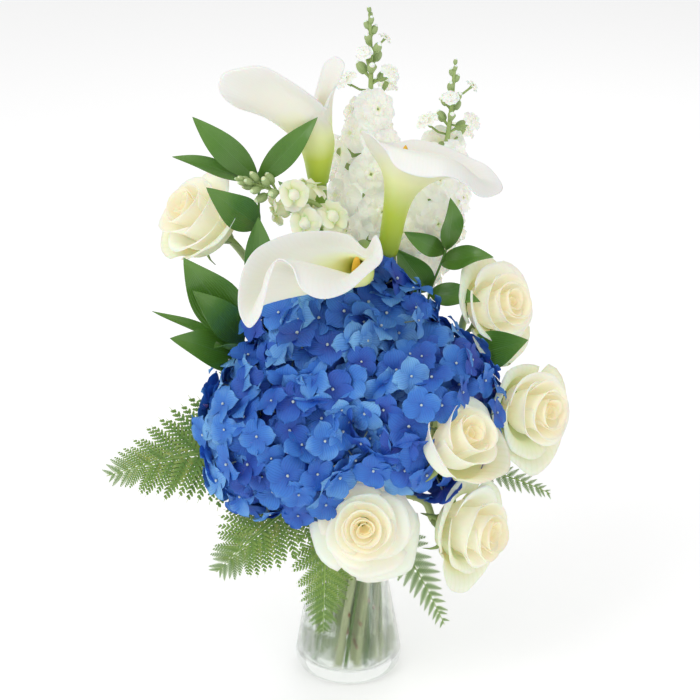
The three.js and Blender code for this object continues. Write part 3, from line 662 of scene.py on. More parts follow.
# ------------------------------------------------------------------ planting repeated pieces
class Planter:
    """Geometry Nodes trees that set a small piece out many times."""

    def __init__(self) -> None:
        """Builds both trees."""
        self.rows = self._row_tree()
        self.dome = self._dome_tree()

    @staticmethod
    def _finish_end(web: Web, geometry: bpy.types.NodeSocket, given: bpy.types.Node) -> None:
        """Realizes the instances and sets the finish of each part.

        Args:
            web: The tree that is being built.
            geometry: Its geometry so far.
            given: The tree's input node.
        """
        whole = web.node("GeometryNodeRealizeInstances", {0: geometry}).outputs[0]
        part = web.node("GeometryNodeInputNamedAttribute", {"Name": "part"}, data_type="INT")
        for step, label in enumerate(("Main finish", "Centre finish", "Green finish")):
            chosen = web.node("FunctionNodeCompare", {2: part.outputs[0], 3: step},
                              data_type="INT", operation="EQUAL").outputs[0]
            whole = web.node("GeometryNodeSetMaterial", {
                "Geometry": whole, "Selection": chosen,
                "Material": given.outputs[label]}).outputs[0]
        web.node("NodeGroupOutput", {0: whole})

    FINISH_SOCKETS = [(label, "NodeSocketMaterial", None)
                      for label in ("Main finish", "Centre finish", "Green finish")]

    def _row_tree(self) -> bpy.types.NodeTree:
        """A tree that sets a piece at given points, each with its aim, face and size.

        Returns:
            The tree.
        """
        tree, web = new_group("plant_in_rows", "GeometryNodeTree", [
            ("Geometry", "NodeSocketGeometry", None), ("Points", "NodeSocketObject", None),
            ("Piece", "NodeSocketObject", None), *self.FINISH_SOCKETS],
            [("Geometry", "NodeSocketGeometry")])
        given = web.node("NodeGroupInput")
        points = web.node("GeometryNodeObjectInfo", {"Object": given.outputs["Points"]})
        piece = web.node("GeometryNodeObjectInfo", {
            "Object": given.outputs["Piece"], "As Instance": True})
        aim = web.node("GeometryNodeInputNamedAttribute", {"Name": "aim"}, data_type="FLOAT_VECTOR")
        face = web.node("GeometryNodeInputNamedAttribute", {"Name": "face"},
                        data_type="FLOAT_VECTOR")
        size = web.node("GeometryNodeInputNamedAttribute", {"Name": "size"}, data_type="FLOAT")
        shade = web.node("GeometryNodeInputNamedAttribute", {"Name": "shade"}, data_type="FLOAT")
        raised = web.node("FunctionNodeAlignRotationToVector", {"Vector": aim.outputs[0]}, axis="Z")
        turned = web.node("FunctionNodeAlignRotationToVector", {
            "Rotation": raised.outputs[0], "Vector": face.outputs[0]}, axis="Y", pivot_axis="Z")
        planted = web.node("GeometryNodeInstanceOnPoints", {
            "Points": points.outputs["Geometry"], "Instance": piece.outputs["Geometry"],
            "Rotation": turned.outputs[0], "Scale": size.outputs[0]})
        marked = web.node("GeometryNodeStoreNamedAttribute", {
            "Geometry": planted.outputs[0], "Name": "variation", "Value": shade.outputs[0]},
            data_type="FLOAT", domain="INSTANCE")
        both = web.node("GeometryNodeJoinGeometry")
        tree.links.new(given.outputs["Geometry"], both.inputs[0])
        tree.links.new(marked.outputs[0], both.inputs[0])
        self._finish_end(web, both.outputs[0], given)
        return tree

    def _dome_tree(self) -> bpy.types.NodeTree:
        """A tree that covers a dome with florets.

        Returns:
            The tree.
        """
        tree, web = new_group("cover_a_dome", "GeometryNodeTree", [
            ("Geometry", "NodeSocketGeometry", None), ("Dome", "NodeSocketObject", None),
            ("Piece", "NodeSocketObject", None), ("Spacing", FLOAT, 0.02), ("Tilt", FLOAT, 0.4),
            ("Sink", FLOAT, 0.006), ("Small", FLOAT, 0.85), ("Seed", "NodeSocketInt", 1),
            *self.FINISH_SOCKETS], [("Geometry", "NodeSocketGeometry")])
        group_input = web.node("NodeGroupInput")
        given = group_input.outputs
        dome = web.node("GeometryNodeObjectInfo", {"Object": given["Dome"]})
        piece = web.node("GeometryNodeObjectInfo", {"Object": given["Piece"], "As Instance": True})
        scattered = web.node("GeometryNodeDistributePointsOnFaces", {
            "Mesh": dome.outputs["Geometry"], "Distance Min": given["Spacing"],
            "Density Max": 9000.0, "Seed": given["Seed"]}, distribute_method="POISSON")
        low = web.node("ShaderNodeCombineXYZ", {
            0: web.maths("MULTIPLY", given["Tilt"], -1.0),
            1: web.maths("MULTIPLY", given["Tilt"], -1.0), 2: -math.pi})
        high = web.node("ShaderNodeCombineXYZ", {0: given["Tilt"], 1: given["Tilt"], 2: math.pi})
        wobble = web.node("FunctionNodeRandomValue", {
            0: low.outputs[0], 1: high.outputs[0], "Seed": given["Seed"]}, data_type="FLOAT_VECTOR")
        turned = web.node("FunctionNodeRotateRotation", {
            0: scattered.outputs["Rotation"], 1: wobble.outputs[0]}, rotation_space="LOCAL")
        depth = web.node("FunctionNodeRandomValue", {
            2: web.maths("MULTIPLY", given["Sink"], -1.0), 3: given["Sink"],
            "Seed": web.maths("ADD", given["Seed"], 7.0)}, data_type="FLOAT")
        offset = web.node("ShaderNodeVectorMath", {
            0: scattered.outputs["Normal"], "Scale": depth.outputs[1]}, operation="SCALE")
        moved = web.node("GeometryNodeSetPosition", {
            "Geometry": scattered.outputs["Points"], "Offset": offset.outputs[0]})
        size = web.node("FunctionNodeRandomValue", {
            2: given["Small"], 3: 1.12, "Seed": web.maths("ADD", given["Seed"], 3.0)},
            data_type="FLOAT")
        planted = web.node("GeometryNodeInstanceOnPoints", {
            "Points": moved.outputs[0], "Instance": piece.outputs["Geometry"],
            "Rotation": turned.outputs[0], "Scale": size.outputs[1]})
        place = web.node("GeometryNodeInputPosition")
        patch = web.node("ShaderNodeTexNoise", {
            "Vector": place.outputs[0], "Scale": 14.0, "Detail": 1.0})
        own = web.node("FunctionNodeRandomValue", {
            2: -0.30, 3: 0.30, "Seed": web.maths("ADD", given["Seed"], 5.0)}, data_type="FLOAT")
        shade = web.maths("ADD", patch.outputs["Fac"], own.outputs[1], clamp=True)
        marked = web.node("GeometryNodeStoreNamedAttribute", {
            "Geometry": planted.outputs[0], "Name": "variation", "Value": shade},
            data_type="FLOAT", domain="INSTANCE")
        both = web.node("GeometryNodeJoinGeometry")
        tree.links.new(given["Geometry"], both.inputs[0])
        tree.links.new(marked.outputs[0], both.inputs[0])
        self._finish_end(web, both.outputs[0], group_input)
        return tree

    @staticmethod
    def fit(carrier: bpy.types.Object, tree: bpy.types.NodeTree, values: dict[str, object]) -> None:
        """Adds a tree to an object as a modifier, with values for its named inputs."""
        modifier = carrier.modifiers.new(tree.name, "NODES")
        modifier.node_group = tree
        for item in tree.interface.items_tree:
            if item.item_type == "SOCKET" and item.in_out == "INPUT" and item.name in values:
                modifier[item.identifier] = values[item.name]

    @staticmethod
    def plain(carrier: bpy.types.Object) -> bpy.types.Object:
        """Turns an object with its modifiers into one plain mesh, and removes them.

        Args:
            carrier: The object with its modifiers.

        Returns:
            The same object with a plain mesh.
        """
        bpy.context.view_layer.update()
        graph = bpy.context.evaluated_depsgraph_get()
        mesh = bpy.data.meshes.new_from_object(
            carrier.evaluated_get(graph), preserve_all_data_layers=True, depsgraph=graph)
        carrier.modifiers.clear()
        mesh.name = carrier.name
        carrier.data = mesh
        mesh.polygons.foreach_set("use_smooth", [True] * len(mesh.polygons))
        return carrier


@dataclass
class Plantings:
    """Places where a repeated piece is set, gathered one by one."""

    points: list[np.ndarray] = field(default_factory=list)
    aims: list[np.ndarray] = field(default_factory=list)
    faces: list[np.ndarray] = field(default_factory=list)
    sizes: list[float] = field(default_factory=list)
    shades: list[float] = field(default_factory=list)

    def add(self, point: np.ndarray, aim: np.ndarray, face: np.ndarray, size: float,
            shade: float = 0.5) -> None:
        """Adds one place.

        Args:
            point: Where the piece's base goes.
            aim: The direction that the piece grows in.
            face: The direction that its upper side looks in.
            size: Its scale.
            shade: The variation that its material reads.
        """
        self.points.append(point)
        self.aims.append(aim)
        self.faces.append(face)
        self.sizes.append(size)
        self.shades.append(shade)

    def marker(self, name: str) -> bpy.types.Object:
        """Makes the points object that a row tree reads.

        Args:
            name: The object's name.

        Returns:
            An object of points with their attributes.
        """
        mesh = bpy.data.meshes.new(name)
        mesh.from_pydata(np.array(self.points).tolist(), [], [])
        for label, rows in (("aim", self.aims), ("face", self.faces)):
            layer = mesh.attributes.new(label, "FLOAT_VECTOR", "POINT")
            layer.data.foreach_set("vector", np.array(rows).ravel())
        for label, values in (("size", self.sizes), ("shade", self.shades)):
            layer = mesh.attributes.new(label, "FLOAT", "POINT")
            layer.data.foreach_set("value", values)
        return bpy.data.objects.new(name, mesh)


@dataclass
class Workshop:
    """What every flower needs while it is made."""

    palette: Palette
    planter: Planter

    def planted(self, carrier: bpy.types.Object, rows: Plantings, piece: bpy.types.Object,
                finishes: tuple[str, str, str]) -> bpy.types.Object:
        """Sets a piece out on a carrier and makes one plain mesh of both.

        Args:
            carrier: The object that keeps its own mesh and gets the pieces.
            rows: Where the pieces go.
            piece: The object that is repeated.
            finishes: The names of the finishes of its three parts.

        Returns:
            The carrier.
        """
        marker = rows.marker(f"{carrier.name}_places")
        self.planter.fit(carrier, self.planter.rows, {
            "Points": marker, "Piece": piece, **self.finish_values(finishes)})
        made = self.planter.plain(carrier)
        bpy.data.objects.remove(marker)
        return made

    def finish_values(self, finishes: tuple[str, str, str]) -> dict[str, bpy.types.Material]:
        """The values of the three finish inputs of a planting tree."""
        labels = ("Main finish", "Centre finish", "Green finish")
        return {label: self.palette[name] for label, name in zip(labels, finishes)}


# ------------------------------------------------------------------ vase
@dataclass
class Vase:
    """The clear glass gathering vase and the water in it."""

    foot_radius: float = 0.042
    heel_radius: float = 0.0485
    heel_height: float = 0.012
    neck_radius: float = 0.034
    neck_height: float = 0.118
    lip_radius: float = 0.0425
    wall: float = 0.003
    sides: int = 96

    def outline(self) -> np.ndarray:
        """The outer profile from the heel to the lip, as radius and height.

        Returns:
            Points as rows of radius and height.
        """
        body = self.neck_height - self.heel_height
        knots = [(self.heel_radius, self.heel_height),
                 ((self.heel_radius + self.neck_radius) / 2 + 0.0026,
                  self.heel_height + body * 0.27),
                 (self.neck_radius + 0.0029, self.heel_height + body * 0.66),
                 (self.neck_radius, self.neck_height),
                 ((self.neck_radius + self.lip_radius) / 2 - 0.0012,
                  (self.neck_height + LIP_HEIGHT) / 2),
                 (self.lip_radius, LIP_HEIGHT - self.wall / 2)]
        points = even_points([np.array([r, 0.0, z]) for r, z in knots], 44)
        return points[:, [0, 2]]

    def bore(self, height: float) -> float:
        """The inner radius at a height."""
        outline = self.outline()
        return float(np.interp(height, outline[:, 1], outline[:, 0])) - self.wall

    def lathe(self, name: str, profile: list[tuple[float, float]],
              finish: bpy.types.Material) -> bpy.types.Object:
        """Turns a closed profile, given as radius and height from axis to axis, about Z.

        Args:
            name: The piece's name.
            profile: Radius and height of each point.
            finish: Its material.

        Returns:
            The piece.
        """
        rows = np.array(profile[1:-1])
        angles = np.arange(self.sides) / self.sides * math.tau
        points = np.stack([rows[:, :1] * np.cos(angles), rows[:, :1] * np.sin(angles),
                           np.repeat(rows[:, 1:], self.sides, axis=1)], axis=2)
        shape = Shape()
        shape.grid(points, closed=True)
        for row, (_, height), turned in ((0, profile[0], True),
                                         (len(rows) - 1, profile[-1], False)):
            centre = shape.total
            shape.add(np.array([0.0, 0.0, height]), np.zeros(3), [])
            for k in range(self.sides):
                face = (row * self.sides + k, row * self.sides + (k + 1) % self.sides, centre)
                shape.faces.append(face[::-1] if turned else face)
                shape.parts.append(0)
        return shape.piece(name, [finish])

    def build(self, shop: Workshop) -> None:
        """Builds the vase and its water.

        Args:
            shop: The palette and the planting trees.
        """
        arc = [(self.foot_radius + (self.heel_radius - self.foot_radius) * math.sin(a),
                0.0008 + self.heel_height * (1 - math.cos(a)))
               for a in np.linspace(0.0, math.pi / 2, 8)]
        outside = arc[:-1] + [tuple(p) for p in self.outline()]
        lip_middle = (self.lip_radius - self.wall / 2, LIP_HEIGHT - self.wall / 2)
        lip = [(lip_middle[0] + self.wall / 2 * math.cos(a),
                lip_middle[1] + self.wall / 2 * math.sin(a))
               for a in np.linspace(0.3, math.pi - 0.3, 6)]
        corner = FLOOR_OF_GLASS + 0.006
        inside = [(r - self.wall, z) for r, z in self.outline()[::-1] if z > corner + 0.002]
        hollow = [(self.bore(corner) * (0.90 + 0.10 * math.sin(a)) - 0.0002,
                   FLOOR_OF_GLASS + 0.006 * (1 - math.cos(a)))
                  for a in np.linspace(math.pi / 2, 0, 6)]
        profile = [(0, 0.0), (self.foot_radius * 0.5, 0.0), (self.foot_radius - 0.003, 0.0),
                   (self.foot_radius - 0.001, 0.0003), *outside, *lip, *inside, *hollow,
                   (self.bore(corner) * 0.6, FLOOR_OF_GLASS - 0.0005), (0, FLOOR_OF_GLASS - 0.001)]
        settle(self.lathe("glass_vase", profile, shop.palette["vase_glass"]), "vase")
        low = FLOOR_OF_GLASS + 0.0003
        wet = [(self.bore(z) - 0.0003, z) for z in np.linspace(corner + 0.001, WATER_LEVEL, 8)]
        water = [(0, low), (self.bore(corner) * 0.86, low), *wet,
                 (self.bore(WATER_LEVEL) - 0.003, WATER_LEVEL - 0.0009), (0, WATER_LEVEL - 0.001)]
        settle(self.lathe("vase_water_fill", water, shop.palette["vase_water"]), "water")


# ------------------------------------------------------------------ stems
@dataclass
class Stem:
    """A stem from the vase's floor, through its place in the neck, to its flower.

    Attributes:
        slot: Its place in the neck in millimetres.
        route: Its places above the lip.
        radius: Its radius in metres.
    """

    slot: tuple[float, float]
    route: list[np.ndarray]
    radius: float

    TWIST = -math.pi / 6
    LIP_MARGIN = 0.003
    BELOW_FLOOR = 0.06
    SPREAD = 1.15
    NECK = 0.118

    def path(self, count: int) -> np.ndarray:
        """Points along its centreline, evenly spaced and cut at the vase's floor.

        Args:
            count: How many points it has.

        Returns:
            An array of points.
        """
        neck = np.array(self.slot) * MM
        turn = np.array([[math.cos(self.TWIST), -math.sin(self.TWIST)],
                         [math.sin(self.TWIST), math.cos(self.TWIST)]])
        foot = turn @ neck * self.SPREAD
        neck_point = np.array([*neck, self.NECK])
        foot_point = np.array([*foot, FLOOR_OF_GLASS])
        lip_point = np.array([*(neck * self.SPREAD), LIP_HEIGHT - self.LIP_MARGIN])
        knots = [foot_point + (foot_point - neck_point) * self.BELOW_FLOOR,
                 (foot_point + neck_point) / 2,
                 neck_point, (neck_point + lip_point) / 2, lip_point, *self.route]
        points = even_points(knots, count * 2)
        kept = points[points[:, 2] > FLOOR_OF_GLASS + 0.0006]
        places = np.linspace(0, len(kept) - 1, count)
        return np.stack([np.interp(places, np.arange(len(kept)), kept[:, k]) for k in range(3)],
                        axis=1)

    def lay(self, shape: Shape, count: int = 60, sides: int = 12, part: Part = Part.MAIN,
            tip: float = 1.0, tone: float = 0.0) -> np.ndarray:
        """Adds the stem to a shape and gives its path.

        Args:
            shape: The shape that it joins.
            count: How many rings it has.
            sides: The sides of its section.
            part: The part that its faces belong to.
            tip: Its radius at the top as a share of its radius below.
            tone: The tone of its points.

        Returns:
            Its path.
        """
        path = self.path(count)
        radii = self.radius * np.linspace(1.0, tip, count)
        shape.tube(path, radii, sides, tone, part)
        return path


def thorn(shape: Shape, at: np.ndarray, out: np.ndarray, up: np.ndarray, part: Part) -> None:
    """Adds the brown scar of a removed thorn, a low oval pad, to a stem."""
    path = np.array([at - up * 0.0022, at + out * 0.0009, at + up * 0.0022])
    shape.tube(path, np.array([0.0006, 0.0017, 0.0006]), 6, 1.0, part)


# ------------------------------------------------------------------ hydrangeas
def floret_piece() -> bpy.types.Object:
    """One hydrangea floret, looking along +Z: overlapping round sepals, a bead and a stalk.

    Returns:
        The object that plantings repeat.
    """
    rng = random.Random(6)
    shape = Shape()
    middle, half_length, half_width = 0.0094, 0.0090, 0.0100
    stations = (-1.0, -0.72, -0.30, 0.18, 0.60, 0.88, 0.995)
    columns = 6
    for k in range(4):
        cup, wave = rng.uniform(0.7, 1.3), rng.uniform(0, math.tau)
        points = np.zeros((len(stations), columns, 3))
        for r, station in enumerate(stations):
            along = (station + 1) / 2
            half = half_width * max(0.14, math.sqrt(1 - station ** 2)) * (0.90 + 0.12 * along)
            for c in range(columns):
                across = c / (columns - 1) * 2 - 1
                x = middle + half_length * station - 0.0012 * across ** 2 * along
                z = (0.0024 * math.sin(math.pi * along * 0.8) * cup - 0.0022 * along ** 3
                     + 0.0016 * cup * across ** 2 * along + 0.0014 * across * along
                     + 0.0005 * math.sin(3.4 * across + wave) * along)
                points[r, c] = (x, half * across, z)
        angle = k * math.pi / 2 + rng.uniform(-0.1, 0.1)
        turn = np.array([[math.cos(angle), -math.sin(angle), 0],
                         [math.sin(angle), math.cos(angle), 0], [0, 0, 1]])
        shape.grid(points @ turn.T, tone=0.3)
    shape.ball(np.array([0, 0, 0.0014]), np.array([0, 0, 1.0]), 0.0013, 0.0012, rings=2, sides=6,
               part=Part.CENTRE)
    stalk = np.array([[0, 0, -0.030], [0.0004, 0, -0.015], [0, 0, 0.0008]])
    shape.tube(stalk, np.array([0.0011, 0.0008, 0.0008]), 4, 1.0, Part.GREEN)
    return shape.piece("floret", [])


@dataclass
class Hydrangea:
    """A hydrangea head on its stem."""

    name: str
    centre: np.ndarray
    axis: np.ndarray
    width: float
    rise: float
    slot: tuple[float, float]
    route: list[np.ndarray]
    seed: int

    RADIUS = 0.075
    HEIGHT = 0.066
    UNDERSIDE = 0.12
    STEM_RADIUS = 0.0045

    def holds(self, point: np.ndarray, share: float) -> bool:
        """True where a point lies inside this head at a share of its size."""
        rel = point - self.centre
        up = float(np.dot(rel, self.axis))
        out = float(np.linalg.norm(rel - up * self.axis))
        inside = (up / (self.HEIGHT * self.rise)) ** 2 + (out / (self.RADIUS * self.width)) ** 2
        return inside < share ** 2 and up > -self.UNDERSIDE * self.HEIGHT * self.rise

    def dome(self, share: float, blockers: list, low: float) -> bpy.types.Object:
        """The surface that florets cover, without what lies inside other flowers.

        Args:
            share: Its size as a share of the head's.
            blockers: Tests of a point, each true inside another flower.
            low: How far below its middle it reaches, as a share of its rise.

        Returns:
            The dome object, not linked to the scene.
        """
        rows, columns = 22, 56
        shape = Shape()
        tilts = np.linspace(-math.asin(low), math.pi / 2 * 0.995, rows)
        points = np.zeros((rows, columns, 3))
        for r, tilt in enumerate(tilts):
            middle = self.centre + self.axis * self.HEIGHT * self.rise * share * math.sin(tilt)
            for c in range(columns):
                points[r, c] = on_circle(middle, self.axis, self.RADIUS * self.width * share
                                         * math.cos(tilt), c / columns)
        shape.grid(points, closed=True)
        flat = points.reshape(-1, 3)
        keep = [face for face in shape.faces
                if not any(test(flat[list(face)].mean(axis=0)) for test in blockers)]
        shape.faces = [face[::-1] if self._inward(flat, face) else face for face in keep]
        shape.parts = [0] * len(keep)
        mesh = shape.mesh(f"{self.name}_dome")
        return bpy.data.objects.new(mesh.name, mesh)

    def _inward(self, points: np.ndarray, face: tuple[int, ...]) -> bool:
        """True where a face of the dome looks towards its centre."""
        a, b, c = (points[k] for k in face[:3])
        return float(np.dot(np.cross(b - a, c - a), a - self.centre)) < 0

    def stem(self) -> Stem:
        """The stem up to the middle of the head."""
        approach = self.centre - self.axis * self.HEIGHT * self.rise * 0.5
        return Stem(self.slot, [*self.route, approach, self.centre], self.STEM_RADIUS)

    def branches(self) -> Shape:
        """The branches that spread from the stem's top to the florets.

        Returns:
            The shape of all the branches.
        """
        rng = random.Random(self.seed)
        shape = Shape()
        hub = self.centre - self.axis * self.HEIGHT * self.rise * 0.42
        for ring, (count, tilt) in enumerate(((5, 1.25), (9, 0.72), (13, 0.22))):
            for k in range(count):
                turn = (k + rng.uniform(-0.2, 0.2)) / count + ring * 0.13
                out = on_circle(np.zeros(3), self.axis, math.cos(tilt), turn)
                tip = self.centre + 0.56 * (out * self.RADIUS * self.width
                                            + self.axis * self.HEIGHT * self.rise * math.sin(tilt))
                bend = (hub + tip) / 2 - self.axis * 0.004
                path = even_points([hub, bend, tip], 7)
                shape.tube(path, np.linspace(0.0026, 0.0014, 7), 6, 0.4, Part.GREEN)
                for m in range(4):
                    fork = on_circle(tip, unit(tip - hub), 0.013, turn + m / 4)
                    end = fork + unit(tip - hub) * 0.010
                    shape.tube(np.array([tip, (tip + end) / 2, end]),
                               np.array([0.0013, 0.0011, 0.0008]), 4, 0.6, Part.GREEN)
        return shape

    def build(self, shop: Workshop, floret: bpy.types.Object, blockers: list) -> None:
        """Builds the head and its stem.

        Args:
            shop: The palette and the planting trees.
            floret: The floret that covers the head.
            blockers: Tests of a point, each true inside another flower.
        """
        finishes = ("hydrangea_sepal", "hydrangea_bead", "hydrangea_branch")
        head = self.branches().piece(f"{self.name}_hydrangea_head", [])
        domes = []
        for share, spacing, tilt, sink, low in ((0.965, 0.0150, 0.55, 0.007, 0.45),
                                                (0.84, 0.0160, 0.70, 0.005, 0.40),
                                                (0.68, 0.0170, 0.60, 0.005, 0.30)):
            dome = self.dome(share, blockers, low)
            domes.append(dome)
            shop.planter.fit(head, shop.planter.dome, {
                "Dome": dome, "Piece": floret, "Spacing": spacing, "Tilt": tilt, "Sink": sink,
                "Small": 0.80, "Seed": self.seed + len(domes), **shop.finish_values(finishes)})
        shop.planter.plain(head)
        for dome in domes:
            bpy.data.objects.remove(dome)
        settle(head, f"hydrangea_head_{self.name}")
        stalk = Shape()
        self.stem().lay(stalk, 60, 12, tip=0.9)
        stalk_piece = stalk.piece(f"{self.name}_hydrangea_stem", [shop.palette["hydrangea_branch"]])
        settle(stalk_piece, f"hydrangea_stem_{self.name}")


# ------------------------------------------------------------------ roses
@dataclass
class Rose:
    """A rose on its stem.

    Attributes:
        name: Its place in the bouquet.
        heart: The middle of its bloom.
        axis: The direction that it opens to.
        scale: Its size.
        slot: Its stem's place in the neck.
        route: Its stem's places above the lip.
        openness: How far its outer petals lie back, from 0 to 1.
        petals: How many petals it has.
        approach: Where its stem comes from, if not straight from below.
        guards: How many greenish guard petals it keeps.
        turn: Where its first petal points, in radians.
    """

    name: str
    heart: np.ndarray
    axis: np.ndarray
    scale: float
    slot: tuple[float, float]
    route: list[np.ndarray]
    openness: float = 0.5
    petals: int = 16
    approach: np.ndarray | None = None
    guards: int = 2
    turn: float = 0.0

    GOLDEN_ANGLE = 2.39996
    RADIUS = 0.0425
    DEPTH = 0.056
    STEM_RADIUS = 0.0034

    def seat(self) -> np.ndarray:
        """The point where the bloom sits on its stem."""
        return self.heart - self.axis * self.DEPTH * self.scale / 2

    def holds(self, point: np.ndarray) -> bool:
        """True where a point lies well inside the bloom."""
        return float(np.linalg.norm(point - self.heart)) < self.RADIUS * self.scale * 0.86

    def to_world(self, points: np.ndarray) -> np.ndarray:
        """Turns points about +Z into the bloom's own place and direction."""
        side, other = cross_axes(self.axis)
        return self.seat() + points @ np.array([side, other, self.axis])

    def petal(self, index: int, rng: random.Random) -> np.ndarray:
        """The grid of one petal, in the bloom's own frame.

        Args:
            index: Its place from the heart outwards.
            rng: The source of its irregularities.

        Returns:
            An array of rows by columns by three.
        """
        radius, depth = self.RADIUS * self.scale, self.DEPTH * self.scale
        age = index / (self.petals - 1)
        rows, columns = 14, 13
        phase = self.turn + index * self.GOLDEN_ANGLE + rng.uniform(-0.12, 0.12)
        rim = radius * (0.05 + 1.01 * age ** 1.12)
        flare = radius * (0.05 + (0.13 + 0.30 * self.openness) * age ** 1.4)
        belly = max(rim - flare, radius * 0.05)
        spread = min(2.3, radius * (0.62 + 0.46 * age) * rng.uniform(0.92, 1.08) / rim)
        crown = depth * (0.78 + 0.20 * math.sin(math.pi * min(1.0, age * 1.25))
                         - 0.34 * self.openness * age ** 2)
        droop = crown * 0.34 * self.openness * age ** 1.6
        tuck, wave = 0.10 * (1 - 0.5 * age), rng.uniform(0, math.tau)
        foot = min(0.0035 * self.scale, rim * 0.5)
        points = np.zeros((rows, columns, 3))
        for r in range(rows):
            for c in range(columns):
                across = c / (columns - 1) * 2 - 1
                top = 1 - 0.13 * abs(across) ** 2.6 - 0.015 * math.cos(3 * across + wave)
                top += 0.05 * age * max(0.0, 1 - abs(across) * 3)
                s = r / (rows - 1) * top
                upper = max(0.0, (s - 0.5) / 0.5)
                out = foot + (belly - foot) * math.sin(min(1.0, s / 0.5) * math.pi / 2)
                out += flare * upper ** 1.5 * (1 + 0.25 * age * across ** 2)
                out = max(out * (1 + tuck * across), 0.0006)
                out *= 1 + 0.085 * upper * math.sin(1.9 * across + 2 * wave) * (0.4 + 0.6 * age)
                out += 0.0012 * math.sin(5 * across + wave) * upper * (0.3 + age)
                z = crown * s - droop * upper ** 2.2 * (1 + 0.3 * across ** 2)
                z -= 0.0016 * max(0.0, upper - 0.8) * 5 * age
                half = spread * (0.30 + 0.70 * math.sin(math.pi * min(1.0, 0.12 + 0.58 * s)))
                angle = phase + across * half
                points[r, c] = (out * math.cos(angle), out * math.sin(angle), z)
        return points

    def bloom(self) -> Shape:
        """All the petals, from the heart outwards.

        Returns:
            The shape of the petals.
        """
        rng = random.Random(len(self.name) * 7 + self.petals)
        shape = Shape()
        for index in range(self.petals):
            age = index / (self.petals - 1)
            grid = self.to_world(self.petal(index, rng))
            guard = index >= self.petals - self.guards
            warm = max(0.0, 1 - age * 1.5) ** 1.2
            shape.grid(grid, tone=warm, part=Part.CENTRE if guard else Part.MAIN)
        return shape

    def calyx(self) -> Shape:
        """The hip and the five sepals under the bloom.

        Returns:
            The shape of both.
        """
        shape = Shape()
        hip = np.array([[0, 0, -0.009], [0, 0, -0.004], [0, 0, 0.001], [0, 0, 0.006]])
        shape.tube(self.to_world(hip * self.scale),
                   np.array([0.0036, 0.0060, 0.0068, 0.0050]) * self.scale, 10, 0.2)
        for k in range(5):
            angle = k * math.tau / 5
            side = np.array([-math.sin(angle), math.cos(angle), 0])
            out = np.array([math.cos(angle), math.sin(angle), 0])
            rows = np.zeros((7, 3, 3))
            for r in range(7):
                s = r / 6
                middle = out * (0.005 + 0.020 * math.sin(s * 1.5)) + np.array(
                    [0, 0, 0.003 + 0.009 * math.sin(s * 2.6) - 0.012 * s ** 2])
                half = 0.0042 * math.sin(math.pi * (0.25 + 0.72 * s)) ** 0.8 * (1 - 0.6 * s)
                for c in range(3):
                    sag = np.array([0, 0, 0.0012 * abs(c - 1)])
                    rows[r, c] = middle + side * half * (c - 1) - sag
            shape.grid(self.to_world(rows * self.scale), tone=0.1)
        return shape

    def build(self, shop: Workshop) -> None:
        """Builds the bloom and its stem.

        Args:
            shop: The palette and the planting trees.
        """
        bloom = self.bloom()
        calyx = self.calyx()
        start = bloom.total
        bloom.points.extend(calyx.points)
        bloom.petals.extend(calyx.petals)
        bloom.faces.extend(tuple(start + k for k in face) for face in calyx.faces)
        bloom.parts.extend([Part.GREEN.value] * len(calyx.faces))
        bloom.total += calyx.total
        finishes = [shop.palette[n] for n in ("rose_petal", "rose_guard", "rose_green")]
        piece = bloom.piece(f"{self.name}_rose_bloom", finishes, thickness=0.0005)
        settle(piece, f"rose_bloom_{self.name}")
        depth = self.DEPTH * self.scale
        approach = self.approach
        if approach is None:
            approach = self.heart - self.axis * (depth / 2 + 0.010)
        seat = self.heart - self.axis * (depth / 2 - 0.001)
        stem = Stem(self.slot, [*self.route, approach, seat], self.STEM_RADIUS)
        shape = Shape()
        path = stem.lay(shape, 80, 12)
        rng = random.Random(self.petals + len(self.name))
        for k in range(9):
            index = 6 + int(k * 7.4)
            tangent = unit(path[index + 1] - path[index - 1])
            out = on_circle(np.zeros(3), tangent, 1.0, rng.random())
            thorn(shape, path[index] + out * self.STEM_RADIUS * 0.92, out, tangent, Part.MAIN)
        stalk = shape.piece(f"{self.name}_rose_stem", [shop.palette["rose_stalk"]])
        settle(stalk, f"rose_stem_{self.name}")


